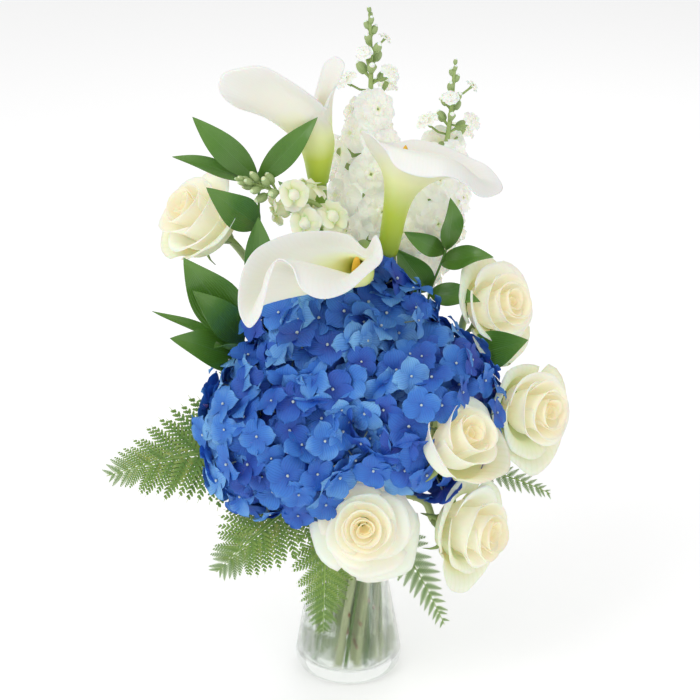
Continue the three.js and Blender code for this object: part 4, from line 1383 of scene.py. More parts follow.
# ------------------------------------------------------------------ callas
@dataclass
class Calla:
    """A calla: one wrapped petal, its spadix and its thick stem."""

    name: str
    slot: tuple[float, float]
    route: list[np.ndarray]
    base: np.ndarray
    throat: np.ndarray
    spadix_tip: np.ndarray
    crest: list[np.ndarray]
    rim: list[np.ndarray]
    throat_radius: float = 0.015

    STEM_RADIUS = 0.0068
    THICKNESS = 0.0012

    def ring(self, centre: np.ndarray, axis: np.ndarray, radius: float, turn: float) -> np.ndarray:
        """A point of a circle whose turn 0 looks to the start of the rim."""
        start = self.rim[0] - self.throat
        start = unit(start - axis * float(np.dot(start, axis)))
        angle = turn * math.tau
        return centre + radius * (math.cos(angle) * start + math.sin(angle) * np.cross(axis, start))

    def spathe(self) -> np.ndarray:
        """The grid of the spathe, from its base over its crest to its rim.

        Returns:
            An array of rows by columns by three.
        """
        rows, columns = 48, 120
        base_axis = unit(self.throat - self.base)
        throat_axis = unit(base_axis + unit(np.mean(self.crest, axis=0) - self.throat) * 0.6)
        grid = np.zeros((rows, columns, 3))
        for c in range(columns):
            turn = c / columns
            knots = [self.ring(self.base, base_axis, self.STEM_RADIUS + 0.001, turn),
                     self.ring(self.throat, throat_axis, self.throat_radius, turn),
                     curve_at(self.crest, turn, closed=True), curve_at(self.rim, turn, closed=True)]
            for r in range(rows):
                grid[r, c] = curve_at(knots, r / (rows - 1))
        return grid

    def build(self, shop: Workshop) -> None:
        """Builds the spathe, the spadix and the stem.

        Args:
            shop: The palette and the planting trees.
        """
        shape = Shape()
        shape.grid(self.spathe(), closed=True)
        spathe = shape.piece(f"{self.name}_calla_spathe", [shop.palette["calla_petal"]],
                             thickness=self.THICKNESS)
        settle(spathe, f"calla_spathe_{self.name}")
        rod = Shape()
        seat = self.base + unit(self.throat - self.base) * self.STEM_RADIUS
        path = even_points([seat, self.throat, self.spadix_tip], 40)
        radii = 0.0034 * np.sqrt(np.clip(1 - np.linspace(0, 1, 40) ** 14, 0.02, 1))
        rod.tube(path, radii, 14, 0.5)
        spadix = rod.piece(f"{self.name}_calla_spadix", [shop.palette["calla_spadix"]])
        settle(spadix, f"calla_spadix_{self.name}")
        stalk = Shape()
        end = self.base + unit(self.throat - self.base) * 0.002
        Stem(self.slot, [*self.route, end], self.STEM_RADIUS).lay(stalk, 70, 18)
        stem = stalk.piece(f"{self.name}_calla_stem", [shop.palette["calla_stalk"]])
        settle(stem, f"calla_stem_{self.name}")


# ------------------------------------------------------------------ stock and snapdragon
def ruffled_blossom() -> bpy.types.Object:
    """One double stock blossom, opening along +Z, on its green calyx.

    Returns:
        The object that plantings repeat.
    """
    rng = random.Random(11)
    shape = Shape()
    for ring, (count, reach, lift, tilt) in enumerate((
            (5, 0.0165, 0.010, 0.15), (5, 0.0130, 0.013, 0.55), (4, 0.0080, 0.015, 1.0))):
        for k in range(count):
            angle = (k + 0.4 * ring) / count * math.tau + rng.uniform(-0.15, 0.15)
            wave = rng.uniform(0, math.tau)
            points = np.zeros((5, 6, 3))
            for r in range(5):
                for c in range(6):
                    along, across = r / 4, c / 5 * 2 - 1
                    half = reach * 0.62 * math.sin(math.pi * (0.10 + 0.62 * along)) ** 0.8
                    notch = 1 - 0.10 * math.exp(-(across / 0.25) ** 2) * along
                    out = reach * along * (1 - 0.16 * across ** 2 * along) * notch
                    ripple = 0.0024 * math.sin(4.2 * across + wave) * along ** 1.5
                    x = out * math.cos(tilt) + 0.001
                    z = (lift * (1 - 0.2 * along) + out * math.sin(tilt) - 0.004 * along ** 2
                         + ripple)
                    points[r, c] = (x, half * across, z)
            turn = np.array([[math.cos(angle), -math.sin(angle), 0],
                             [math.sin(angle), math.cos(angle), 0], [0, 0, 1]])
            shape.grid(points @ turn.T, tone=0.2)
    cup = np.array([[0, 0, -0.004], [0, 0, 0.001], [0, 0, 0.006], [0, 0, 0.012]])
    shape.tube(cup, np.array([0.0012, 0.0030, 0.0036, 0.0030]), 8, 0.1, Part.GREEN)
    return shape.piece("stock_blossom", [])


def green_bud() -> bpy.types.Object:
    """One closed bud along +Z on a short stalk, of unit size 10 mm.

    Returns:
        The object that plantings repeat.
    """
    shape = Shape()
    shape.ball(np.array([0, 0, 0.0075]), np.array([0, 0, 1.0]), 0.0032, 0.0050, 5, 10, 0.15,
               Part.GREEN, ribs=0.10)
    shape.ball(np.array([0, 0, 0.0112]), np.array([0, 0, 1.0]), 0.0019, 0.0022, 3, 8, 0.8,
               Part.MAIN)
    shape.tube(np.array([[0, 0, -0.003], [0, 0, 0.001], [0, 0, 0.004]]),
               np.array([0.0009, 0.0009, 0.0014]), 5, 0.0, Part.GREEN)
    return shape.piece("green_bud", [])


def pouch_blossom() -> bpy.types.Object:
    """One snapdragon blossom along +Z: a pouch with round lips in a green calyx.

    Returns:
        The object that plantings repeat.
    """
    shape = Shape()
    shape.ball(np.array([0, 0, 0.010]), np.array([0, 0, 1.0]), 0.0060, 0.0095, 6, 10, 0.2)
    for k, (reach, tilt) in enumerate(((0.012, 0.5), (0.011, 0.2), (0.012, 0.7), (0.010, 0.1),
                                       (0.011, 0.5))):
        angle = k * math.tau / 5
        points = np.zeros((5, 5, 3))
        for r in range(5):
            for c in range(5):
                along, across = r / 4, c / 4 * 2 - 1
                half = reach * 0.75 * math.sin(math.pi * (0.15 + 0.60 * along)) ** 0.8
                out = 0.003 + reach * along * (1 - 0.14 * across ** 2)
                z = (0.013 + out * math.sin(tilt) - 0.006 * along ** 2
                     + 0.0015 * math.cos(5 * across + k))
                points[r, c] = (out * math.cos(tilt), half * across, z)
        turn = np.array([[math.cos(angle), -math.sin(angle), 0],
                         [math.sin(angle), math.cos(angle), 0], [0, 0, 1]])
        shape.grid(points @ turn.T, tone=0.1)
    cup = np.array([[0, 0, -0.003], [0, 0, 0.001], [0, 0, 0.006]])
    shape.tube(cup, np.array([0.0014, 0.0046, 0.0050]), 8, 0.1, Part.GREEN)
    return shape.piece("pouch_blossom", [])


@dataclass
class Spike:
    """A flower spike: a stem with buds at its tip and a sleeve of blossoms."""

    name: str
    stem_node: str
    blossom_node: str
    slot: tuple[float, float]
    route: list[np.ndarray]
    tip: np.ndarray
    buds_from: np.ndarray
    blossoms_from: np.ndarray
    blossoms_to: np.ndarray
    blossom_radius: float
    blossoms: int
    buds: int
    stem_radius: float
    petal_finish: str
    slot_name: str
    bud_size: float = 1.0
    seed: int = 3
    half_open: int = 0

    TWIG_RADIUS = 0.0010
    TWIG_SIDES = 5
    GOLDEN_TURN = 0.382

    def build(self, shop: Workshop, blossom: bpy.types.Object, bud: bpy.types.Object) -> None:
        """Builds the stem with its buds, and the sleeve of blossoms.

        Args:
            shop: The palette and the planting trees.
            blossom: The open flower that the sleeve repeats.
            bud: The closed bud that the tip repeats.
        """
        rng = random.Random(self.seed)
        finishes = (self.petal_finish, self.petal_finish, "spike_green")
        shape = Shape()
        knots = [*self.route, self.buds_from, self.tip]
        stem = Stem(self.slot, knots, self.stem_radius)
        path = stem.path(90)
        radii = self.stem_radius * np.interp(np.arange(90), [0, 62, 89], [1.0, 0.85, 0.32])
        shape.tube(path, radii, 10, 0.0, Part.GREEN)
        carrier = shape.piece(f"{self.name}_stem", [])
        top = Plantings()
        axis = unit(self.tip - self.buds_from)
        for k in range(self.buds):
            share = k / (self.buds - 1)
            at = self.buds_from + (self.tip - self.buds_from) * share
            out = on_circle(np.zeros(3), axis, 1.0, k * self.GOLDEN_TURN)
            aim = unit(out * (1.0 - 0.75 * share) + axis * (0.7 + 0.6 * share))
            top.add(at + out * 0.0025 * (1 - share), aim, axis,
                    self.bud_size * (1.35 - 0.75 * share) * rng.uniform(0.9, 1.1), share)
        settle(shop.planted(carrier, top, bud, finishes), self.stem_node)
        sleeve = Plantings()
        axis = unit(self.blossoms_to - self.blossoms_from)
        twig = Shape()
        for k in range(self.blossoms):
            share = (k + 0.5) / self.blossoms
            along = self.blossoms_from + (self.blossoms_to - self.blossoms_from) * share
            reach = self.blossom_radius * math.sin(math.pi * min(0.97, 0.12 + 0.86 * share)) ** 0.5
            out = on_circle(np.zeros(3), axis, 1.0, k * self.GOLDEN_TURN + rng.uniform(-0.04, 0.04))
            aim = unit(out + axis * rng.uniform(0.1, 0.6))
            base = along + out * max(0.003, reach - 0.017)
            twig.tube(np.array([along + out * 0.002, (along + base) / 2, base]), self.TWIG_RADIUS,
                      self.TWIG_SIDES, 0.0,
                      Part.GREEN)
            sleeve.add(base, aim, axis, rng.uniform(1.0, 1.28), rng.random())
        for k in range(self.half_open):
            along = self.blossoms_to + axis * (0.004 + 0.009 * k)
            out = on_circle(np.zeros(3), axis, 1.0, 0.15 + k * self.GOLDEN_TURN)
            base = along + out * (0.020 - 0.002 * k) + axis * 0.006
            twig.tube(np.array([along, (along + base) / 2 - axis * 0.002, base]), self.TWIG_RADIUS,
                      self.TWIG_SIDES, 0.0,
                      Part.GREEN)
            sleeve.add(base, unit(out + axis * 1.2), axis, 0.68 - 0.06 * k, rng.random())
        twigs = twig.piece(f"{self.name}_blossoms", [])
        settle(shop.planted(twigs, sleeve, blossom, finishes), self.blossom_node)


# ------------------------------------------------------------------ ruscus
@dataclass
class Leaf:
    """A leaf blade from its base to its tip.

    Attributes:
        base: Where it leaves its stem.
        tip: Its point.
        width: Its greatest width.
        rise: How far it bows up on its way.
        facing: The direction that its upper side looks in.
        curl: How far it twists from its base to its tip, in radians.
    """

    base: np.ndarray
    tip: np.ndarray
    width: float
    rise: float
    facing: np.ndarray
    curl: float = 0.0

    THICKNESS = 0.0006

    def add(self, shape: Shape, part: Part = Part.MAIN) -> None:
        """Adds the blade, with its upper and lower sides, to a shape.

        Args:
            shape: The shape that it joins.
            part: The part that its faces belong to.
        """
        rows, columns = 20, 9
        axis = unit(self.tip - self.base)
        side = unit(np.cross(axis, self.facing))
        upper = np.cross(side, axis)
        bend = (self.base + self.tip) / 2 + upper * self.rise * 2
        top = np.zeros((rows, columns, 3))
        for r in range(rows):
            s = r / (rows - 1)
            middle = self.base * (1 - s) ** 2 + bend * 2 * s * (1 - s) + self.tip * s ** 2
            middle = middle + upper * 0.0012 * math.sin(9 * s + self.width * 900)
            share = math.sin(math.pi * s ** 0.85) ** 0.85 * (1 - 0.16 * s ** 4)
            half = self.width / 2 * max(share, 0.035 if s < 0.5 else 0.0)
            twist = self.curl * (s - 0.5)
            across_dir = side * math.cos(twist) + upper * math.sin(twist)
            up_dir = upper * math.cos(twist) - side * math.sin(twist)
            for c in range(columns):
                across = c / (columns - 1) * 2 - 1
                lift = half * 0.20 * abs(across) ** 1.3 - 0.0006 * (1 - abs(across)) * (s < 0.9)
                ripple = 0.0006 * math.sin(7 * s + 3 * across) * abs(across)
                top[r, c] = middle + across_dir * half * across + up_dir * (lift + ripple)
        shape.grid(top[:, ::-1], tone=0.0, part=part)
        under = top - upper * self.THICKNESS
        shape.grid(under, tone=1.0, part=part)
        rim = np.concatenate([top[:, 0], top[::-1, -1]])
        low = np.concatenate([under[:, 0], under[::-1, -1]])
        shape.grid(np.stack([rim, low], axis=1), tone=0.2, part=part)


@dataclass
class Sprig:
    """A ruscus sprig: a thin stem with its leaves."""

    name: str
    slot: tuple[float, float]
    route: list[np.ndarray]
    leaves: list[Leaf]

    STEM_RADIUS = 0.0018

    def build(self, shop: Workshop) -> None:
        """Builds the sprig as one piece."""
        shape = Shape()
        Stem(self.slot, self.route, self.STEM_RADIUS).lay(shape, 70, 8, tip=0.55, tone=0.3)
        for leaf in self.leaves:
            leaf.add(shape)
        piece = shape.piece(f"{self.name}_sprig", [shop.palette["ruscus_leaf"]])
        settle(piece, self.name)


# ------------------------------------------------------------------ ferns
def pinna_piece() -> bpy.types.Object:
    """One side branch of a fern along +Z, one metre long, its upper side towards +Y.

    Returns:
        The object that plantings repeat.
    """
    shape = Shape()
    pairs = 10
    for k in range(pairs):
        s = (k + 0.35) / pairs
        length = 0.27 * (1 - s) ** 0.72 * min(1.0, 0.60 + 2.2 * s) + 0.02
        half = 0.043 * (1 - 0.35 * s)
        for way in (-1, 1):
            lean = 0.62 + 0.25 * s
            out = np.array([way * math.cos(lean), 0.0, math.sin(lean)])
            up = np.array([0.0, 1.0, 0.0])
            side = np.cross(out, up)
            start = np.array([0.0, 0.0, s * 0.94 + way * 0.012])
            widths = (0.85, 1.0, 0.72, 0.92, 0.55, 0.62, 0.05)
            grid = np.zeros((len(widths), 2, 3))
            for r, width in enumerate(widths):
                t = r / (len(widths) - 1)
                middle = start + out * length * t - up * 0.05 * length * t ** 2
                for c, edge in enumerate((-1, 1)):
                    grid[r, c] = middle + side * half * width * edge + up * 0.008 * width
            shape.grid(grid, tone=0.5)
    rib = np.array([[0, -0.004, -0.02], [0, 0.002, 0.3], [0, 0.0, 0.65], [0, -0.012, 1.0]])
    shape.tube(rib, np.array([0.011, 0.009, 0.007, 0.003]), 4, 0.6)
    return shape.piece("pinna", [])


@dataclass
class Frond:
    """A leatherleaf fern frond."""

    name: str
    slot: tuple[float, float]
    route: list[np.ndarray]
    tip: np.ndarray
    width: float
    rise: float
    facing: np.ndarray
    pairs: int = 15

    STEM_RADIUS = 0.0015

    def build(self, shop: Workshop, pinna: bpy.types.Object) -> None:
        """Builds the stalk and sets the side branches along it.

        Args:
            shop: The palette and the planting trees.
            pinna: The side branch that it repeats.
        """
        rng = random.Random(len(self.name) + int(self.width * 1e4))
        base = self.route[-1]
        axis = unit(self.tip - base)
        side = unit(np.cross(axis, self.facing))
        upper = np.cross(side, axis)
        bend = (base + self.tip) / 2 + upper * self.rise * 2
        spine = np.array([base * (1 - s) ** 2 + bend * 2 * s * (1 - s) + self.tip * s ** 2
                          for s in np.linspace(0, 1, 40)])
        stalk = Stem(self.slot, self.route, self.STEM_RADIUS).path(50)
        shape = Shape()
        shape.tube(np.concatenate([stalk, spine[1:]]),
                   np.linspace(1.0, 0.22, 89) * self.STEM_RADIUS, 7, 0.9, Part.GREEN)
        carrier = shape.piece(f"{self.name}_frond", [])
        rows = Plantings()
        for k in range(self.pairs):
            s = 0.02 + 0.95 * (k / (self.pairs - 1)) ** 0.92
            at = spine[int(s * 39)]
            ahead = unit(spine[min(39, int(s * 39) + 1)] - spine[max(0, int(s * 39) - 1)])
            reach = self.width / 2 * min(1.0, 0.75 + 1.6 * s) * (1 - s) ** 0.72 + 0.006
            for way in (-1, 1):
                lean = 0.42 + 0.45 * s + rng.uniform(-0.07, 0.07)
                droop = rng.uniform(-0.22, 0.08)
                aim = unit(side * way * math.cos(lean) + ahead * math.sin(lean) + upper * droop)
                face = unit(upper - aim * float(np.dot(upper, aim)))
                rows.add(at + ahead * 0.001 * way, aim, face, reach * rng.uniform(0.92, 1.08),
                         rng.random())
        finishes = ("fern_leaf", "fern_leaf", "fern_leaf")
        settle(shop.planted(carrier, rows, pinna, finishes), self.name)


# ------------------------------------------------------------------ the arrangement
def hydrangeas() -> list[Hydrangea]:
    """The three hydrangea heads.

    Returns:
        Left, right and top.
    """
    return [
        Hydrangea("top", spot(-1, -24, 150), unit((0.08, -0.35, 0.93)), 1.04, 0.86, (-1, -13),
                  [spot(0, -8, 55)], 21),
        Hydrangea("left", spot(-51, -42, 80), unit((-0.45, -0.6, 0.66)), 1.0, 1.04, (-13, -8),
                  [spot(-21, -9, 30)], 32),
        Hydrangea("right", spot(54, -42, 101), unit((0.45, -0.6, 0.66)), 0.97, 1.0, (11, -3),
                  [spot(21, -8, 36)], 43),
    ]


def roses() -> list[Rose]:
    """The six roses.

    Returns:
        All of them, the front one first.
    """
    return [
        Rose("front", spot(13, -92, 10), unit((0, -0.93, 0.36)), 1.2, (6, -26),
             [spot(8, -37, 9), spot(12, -48, 10)], openness=0.95, petals=20,
             approach=spot(15, -57, 3), guards=0),
        Rose("lower_right", spot(106, -66, -6), unit((0.75, -0.6, 0.1)), 1.12, (18, -19),
             [spot(30, -26, 8), spot(47, -34, 12), spot(66, -43, 9)], openness=0.6, guards=4),
        Rose("right", spot(158, -25, 87), unit((0.65, -0.7, 0.25)), 1.1, (25, -4),
             [spot(50, -6, 25), spot(100, -6, 52)], openness=0.6, guards=4),
        Rose("middle_right", spot(90, -95, 91), unit((0.55, -0.5, 0.65)), 1.05, (12, -14),
             [spot(16, -21, 14), spot(42, -52, 34), spot(64, -76, 52)], openness=0.25, petals=12),
        Rose("upper_right", spot(129, 20, 166), unit((0.6, -0.6, 0.4)), 1.05, (24, 9),
             [spot(52, 26, 45), spot(92, 34, 110)], openness=0.6, petals=16),
        Rose("left", spot(-126, 18, 246), unit((-0.6, -0.35, 0.6)), 1.05, (-19, 14),
             [spot(-32, 38, 65), spot(-60, 42, 145), spot(-86, 36, 200)], openness=0.4,
             petals=14),
    ]


def callas() -> list[Calla]:
    """The three callas.

    Returns:
        Left, right and front.
    """
    return [
        Calla("left", (-8, 18), [spot(-12, 38, 65), spot(-21, 48, 155), spot(-24, 36, 225)],
              spot(-25, 26, 275), spot(-27, 22, 312), spot(-30, 21, 326),
              [spot(-20, 22, 338), spot(-12, 24, 353), spot(-16, 27, 357), spot(-22, 28, 353),
               spot(-26, 29, 342), spot(-30, 31, 329), spot(-41, 29, 317), spot(-55, 26, 326),
               spot(-67, 21, 331), spot(-75, 13, 342), spot(-74, 8, 354), spot(-64, 5, 358),
               spot(-53, 3, 359), spot(-41, 3, 353), spot(-31, 6, 346), spot(-25, 11, 339),
               spot(-21, 16, 335)],
              [spot(-15, 22, 350), spot(-3, 26, 375), spot(-10, 30, 381), spot(-19, 32, 375),
               spot(-25, 34, 357), spot(-32, 36, 336), spot(-50, 34, 319), spot(-72, 28, 333),
               spot(-92, 20, 341), spot(-105, 8, 358), spot(-102, 0, 373), spot(-87, -6, 380),
               spot(-69, -8, 382), spot(-50, -8, 372), spot(-34, -4, 360), spot(-23, 4, 349),
               spot(-18, 12, 342)]),
        Calla("right", (10.5, 10), [spot(22, 25, 65), spot(34, 44, 150), spot(35, 34, 188)],
              spot(33, 16, 215), spot(44, 2, 280), spot(47, -3, 315),
              [spot(16, 4, 312), spot(20, -7, 319), spot(29, -16, 320), spot(39, -24, 319),
               spot(51, -29, 318), spot(65, -33, 317), spot(78, -36, 315), spot(89, -36, 310),
               spot(98, -33, 302), spot(105, -28, 295), spot(106, -20, 292), spot(98, -8, 293),
               spot(85, 3, 296), spot(69, 11, 300), spot(53, 13, 302), spot(40, 12, 302),
               spot(26, 9, 308)],
              [spot(11, 0, 326), spot(17, -10, 327), spot(29, -22, 318), spot(38, -32, 306),
               spot(49, -40, 302), spot(64, -46, 301), spot(80, -50, 303), spot(92, -50, 298),
               spot(104, -46, 286), spot(114, -38, 282), spot(126, -22, 284), spot(116, -4, 296),
               spot(102, 10, 300), spot(81, 20, 307), spot(55, 24, 312), spot(38, 18, 311),
               spot(23, 8, 317)]),
        Calla("front", (-3, 3),
              [spot(-2, 19, 55), spot(-2, 43, 148), spot(7, 43, 196), spot(13, 19, 219)],
              spot(12, -22, 220), spot(6, -74, 231), spot(7, -84, 247),
              [spot(18, -78, 245), spot(13, -70, 242), spot(3, -62, 245), spot(-8, -60, 247),
               spot(-21, -64, 249), spot(-37, -72, 250), spot(-49, -80, 248), spot(-62, -88, 245),
               spot(-71, -96, 238), spot(-77, -102, 227), spot(-79, -108, 216),
               spot(-76, -112, 212), spot(-72, -114, 220), spot(-67, -114, 231),
               spot(-62, -112, 246), spot(-54, -106, 252), spot(-44, -108, 253),
               spot(-34, -110, 248), spot(-20, -112, 240), spot(-6, -108, 236), spot(6, -98, 241),
               spot(14, -86, 245)],
              [spot(22, -80, 264), spot(14, -70, 249), spot(2, -60, 256), spot(-10, -60, 260),
               spot(-24, -64, 262), spot(-45, -72, 263), spot(-62, -82, 260), spot(-74, -92, 255),
               spot(-82, -100, 244), spot(-86, -108, 228), spot(-85, -116, 211),
               spot(-78, -122, 202), spot(-70, -124, 211), spot(-65, -124, 228),
               spot(-60, -122, 247), spot(-54, -116, 257), spot(-44, -118, 252),
               spot(-36, -122, 234), spot(-21, -124, 227), spot(-2, -118, 230),
               spot(14, -106, 240), spot(27, -92, 249)], throat_radius=0.012),
    ]


def spikes() -> tuple[list[Spike], Spike]:
    """The two stock spikes, and the snapdragon.

    Returns:
        The stocks as a list, then the snapdragon.
    """
    left = Spike("left_stock", "stock_stem_left", "stock_blossoms_left", (3.5, 25.5),
                 [spot(8, 48, 65), spot(12, 66, 155), spot(15, 70, 240)], spot(18, 60, 409),
                 spot(19, 64, 350), spot(13, 68, 172), spot(18, 66, 330), 0.034, 24, 13, 0.0042,
                 "stock_petal", "stock_white", bud_size=1.0, seed=5, half_open=6)
    right = Spike("right_stock", "stock_stem_right", "stock_blossoms_right", (15.5, 21),
                  [spot(32, 45, 65), spot(53, 61, 155), spot(71, 60, 229)], spot(89, 55, 366),
                  spot(85, 57, 310), spot(57, 61, 172), spot(82, 58, 294), 0.033, 20, 12, 0.0042,
                  "stock_petal", "stock_white", bud_size=0.95, seed=9, half_open=6)
    snap = Spike("snapdragon", "snapdragon_stem", "snapdragon_blossoms", (-16, 4),
                 [spot(-28, 18, 65), spot(-30, 28, 150), spot(-16, 16, 206), spot(-11, 2, 238),
                  spot(-24, -6, 264), spot(-51, -10, 275)], spot(-86, -16, 289),
                 spot(-58, -11, 278), spot(-4, 6, 224), spot(-50, -8, 274), 0.020, 9, 13, 0.0032,
                 "snapdragon_petal", "snapdragon_cream", bud_size=1.0, seed=4)
    return [left, right], snap


def leaf(base: Point, tip: Point, width: float, rise: float, facing: Point,
         curl: float = 0.3) -> Leaf:
    """A leaf from its sizes in millimetres."""
    return Leaf(spot(*base), spot(*tip), width * MM, rise * MM, unit(facing), curl)


def sprigs() -> list[Sprig]:
    """The six ruscus sprigs.

    Returns:
        All of them.
    """
    return [
        Sprig("ruscus_upper_left", (-23, 9),
              [spot(-46, 26, 65), spot(-68, 14, 140), spot(-75, -2, 185), spot(-75, 2, 230),
               spot(-74, 4, 290)], [
                leaf((-75, 3, 284), (-128, 8, 336), 24, 5, (-0.2, -1, 0.5)),
                leaf((-75, 3, 281), (-145, 3, 304), 15, 4, (0, -0.8, 0.8)),
                leaf((-75, 3, 282), (-25, 3, 337), 22, 4, (0.2, -1, 0.4)),
                leaf((-75, 2, 244), (-114, -34, 288), 30, 6, (-0.2, -1, 0.5)),
                leaf((-75, 0.4, 190), (-74, -16, 258), 26, 5, (0.1, -1, 0.3))]),
        Sprig("ruscus_left", (-26, 1), [spot(-52, 16, 60), spot(-80, 10, 105), spot(-92, 0, 150)], [
            leaf((-92, 0, 149), (-137, -16, 222), 42, 6, (-0.1, -1, 0.5)),
            leaf((-90, 2, 139), (-128, -28, 197), 30, 5, (0.2, -1, 0.6)),
            leaf((-84, 8, 117), (-149, -28, 155), 36, 6, (-0.3, -0.8, 0.7)),
            leaf((-88, 4, 132), (-167, 4, 167), 10, 3, (0, -0.8, 0.8)),
            leaf((-86, 6, 126), (-112, -40, 152), 22, 3, (-0.4, -0.5, 1))]),
        Sprig("ruscus_right", (21, 3),
              [spot(42, 14, 65), spot(62, 26, 135), spot(71, 27, 178), spot(77, 25, 196),
               spot(84, 22, 218)], [
                leaf((83.5, 22, 216), (86, 14, 264), 22, 5, (0.5, -1, 0.4)),
                leaf((79, 24.3, 202), (122, 4, 216), 22, 6, (0.1, -0.8, 0.8)),
                leaf((82.5, 22.6, 212), (47, 12, 235), 18, 4, (-0.2, -1, 0.4)),
                leaf((70.5, 27, 176), (41, 16, 219), 27, 5, (-0.2, -1, 0.4)),
                leaf((70, 27, 174), (112, 6, 175), 22, 5, (0.1, -0.9, 0.7))]),
        Sprig("ruscus_far_right", (22, -9),
              [spot(50, 2, 60), spot(84, 18, 105), spot(104, 12, 122)],
              [leaf((103, 12.3, 121), (152, -20, 150), 34, 5, (0.2, -1, 0.5)),
               leaf((96, 14.4, 115), (140, 4, 118), 18, 4, (0.3, -0.8, 0.8))]),
        Sprig("ruscus_lower_right", (22.5, -15.5), [spot(44, -28, 26), spot(66, -58, 48)], [
            leaf((65, -57, 47), (79, -75, 45), 12, 3, (0.3, -0.6, 0.9)),
            leaf((64, -56, 46), (95, -76, 57), 12, 3, (0.2, -0.4, 1))]),
        Sprig("ruscus_back", (-4, 27),
              [spot(-10, 62, 65), spot(-14, 88, 150), spot(-10, 98, 230)], [
            leaf((-10, 97, 226), (4, 100, 300), 24, -5, (0, 1, 0.4)),
            leaf((-11, 96, 210), (-62, 100, 252), 26, -5, (-0.2, 1, 0.5)),
            leaf((-12, 94, 190), (42, 104, 226), 28, -5, (0.2, 1, 0.5)),
            leaf((-13, 88, 150), (-66, 100, 180), 28, -5, (-0.2, 1, 0.5))]),
    ]


def fronds() -> list[Frond]:
    """The seven fern fronds.

    Returns:
        All of them.
    """
    return [
        Frond("fern_far_left", (-25, -9), [spot(-50, -10, 30), spot(-86, -6, 46)],
              spot(-208, -36, 30), 0.112, 0.010, unit((-0.1, -0.8, 0.6)), 18),
        Frond("fern_left", (-19, -18), [spot(-28, -40, 12), spot(-44, -58, 18)],
              spot(-112, -86, -36), 0.094, 0.005, unit((-0.3, -0.9, 0.4)), 15),
        Frond("fern_front", (-11, -25), [spot(-14, -41, 8), spot(-17, -54, 5), spot(-19, -62, -6)],
              spot(-22, -80, -99), 0.062, 0.009, unit((0, -1, 0.2)), 15),
        Frond("fern_lower_right", (12, -26),
              [spot(16, -36, 10), spot(24, -44, 10), spot(33, -49, 3), spot(37, -53, -12)],
              spot(83, -78, -92), 0.044, 0.009, unit((0.3, -1, 0.4)), 13),
        Frond("fern_right", (28, 2), [spot(45, 4, 12), spot(68, 4, 22), spot(100, -6, 26)],
              spot(176, -22, 6), 0.030, 0.005, unit((0.2, -0.6, 0.9)), 13),
        Frond("fern_back_left", (-15, 23.5), [spot(-34, 52, 36), spot(-44, 66, 52)],
              spot(-118, 92, 96), 0.078, -0.008, unit((-0.4, 1, 0.5)), 13),
        Frond("fern_back_right", (10, 27), [spot(30, 56, 36), spot(42, 66, 52)],
              spot(112, 88, 92), 0.078, -0.008, unit((0.4, 1, 0.5)), 13),
    ]


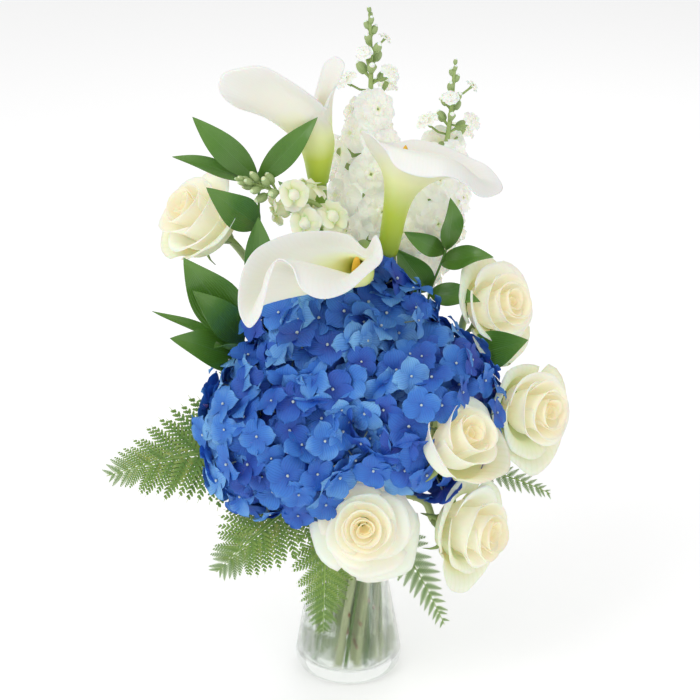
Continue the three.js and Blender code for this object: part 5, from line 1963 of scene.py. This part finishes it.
# ------------------------------------------------------------------ studio
@dataclass
class Studio:
    """The camera, the lights and the pale floor."""

    distance: float = 1.50
    height: float = 0.93
    pitch: float = 22.54
    lens: float = 97.5
    aside: float = 0.0014

    def build(self) -> None:
        """Builds all of it."""
        camera = bpy.data.objects.new("camera", bpy.data.cameras.new("camera"))
        camera.data.lens = self.lens
        camera.data.sensor_width = 36.0
        camera.location = (self.aside, -self.distance, self.height)
        camera.rotation_euler = (math.radians(90 - self.pitch), 0.0, 0.0)
        bpy.context.scene.collection.objects.link(camera)
        bpy.context.scene.camera = camera
        self.floor()
        self.light("key_light", (-1.2, -1.2, 2.0), 1.2, 17.0)
        self.light("fill_light", (1.5, -1.3, 1.0), 1.6, 4.0)
        self.light("back_light", (0.3, 1.6, 1.8), 1.4, 8.0)
        world = bpy.data.worlds.new("studio")
        world.use_nodes = True
        web = Web(world.node_tree)
        world.node_tree.nodes.clear()
        sky = web.node("ShaderNodeBackground", {"Color": (1.0, 1.0, 1.0, 1.0), "Strength": 0.55})
        web.node("ShaderNodeOutputWorld", {"Surface": sky.outputs[0]})
        bpy.context.scene.world = world
        bpy.context.scene.view_settings.view_transform = "Standard"

    @staticmethod
    def light(name: str, place: Point, size: float, power: float) -> None:
        """Adds a large soft lamp that looks at the bouquet.

        Args:
            name: The lamp's name.
            place: Where it hangs.
            size: The side of its square.
            power: Its power in watts.
        """
        lamp = bpy.data.lights.new(name, "AREA")
        lamp.size = size
        lamp.energy = power
        holder = bpy.data.objects.new(name, lamp)
        holder.location = place
        aim = Vector((0.0, 0.0, 0.3)) - Vector(place)
        holder.rotation_euler = aim.to_track_quat("-Z", "Y").to_euler()
        bpy.context.scene.collection.objects.link(holder)

    @staticmethod
    def floor() -> None:
        """Adds the wide pale floor."""
        reach = 12.0
        mesh = bpy.data.meshes.new("studio_floor")
        corners = [(-reach, -reach, 0.0), (reach, -reach, 0.0), (reach, reach, 0.0),
                   (-reach, reach, 0.0)]
        mesh.from_pydata(corners, [], [(0, 1, 2, 3)])
        made = bpy.data.materials.new("studio_floor")
        made.use_nodes = True
        shader = made.node_tree.nodes["Principled BSDF"]
        shader.inputs["Base Color"].default_value = (0.80, 0.80, 0.80, 1.0)
        shader.inputs["Emission Color"].default_value = (1.0, 1.0, 1.0, 1.0)
        shader.inputs["Emission Strength"].default_value = 0.42
        shader.inputs["Roughness"].default_value = 0.7
        mesh.materials.append(made)
        floor = bpy.data.objects.new("studio_floor", mesh)
        bpy.context.scene.collection.objects.link(floor)


def main() -> None:
    """Builds the bouquet, piece by piece, and its studio."""
    logging.basicConfig(level=logging.INFO, format="%(name)s: %(message)s")
    Studio().build()
    shop = Workshop(Palette(), Planter())
    Vase().build(shop)
    heads, blooms = hydrangeas(), roses()
    floret, blossom, bud, pouch, pinna = (
        floret_piece(), ruffled_blossom(), green_bud(), pouch_blossom(), pinna_piece())
    for head in heads:
        others = [lambda p, o=other: o.holds(p, HEAD_SHARE) for other in heads if other is not head]
        head.build(shop, floret, others + [rose.holds for rose in blooms])
    for rose in blooms:
        rose.build(shop)
    for calla in callas():
        calla.build(shop)
    stocks, snapdragon = spikes()
    for stock in stocks:
        stock.build(shop, blossom, bud)
    snapdragon.build(shop, pouch, bud)
    for sprig in sprigs():
        sprig.build(shop)
    for frond in fronds():
        frond.build(shop, pinna)
    for pattern in (floret, blossom, bud, pouch, pinna):
        bpy.data.objects.remove(pattern)


if __name__ == "__main__":
    main()
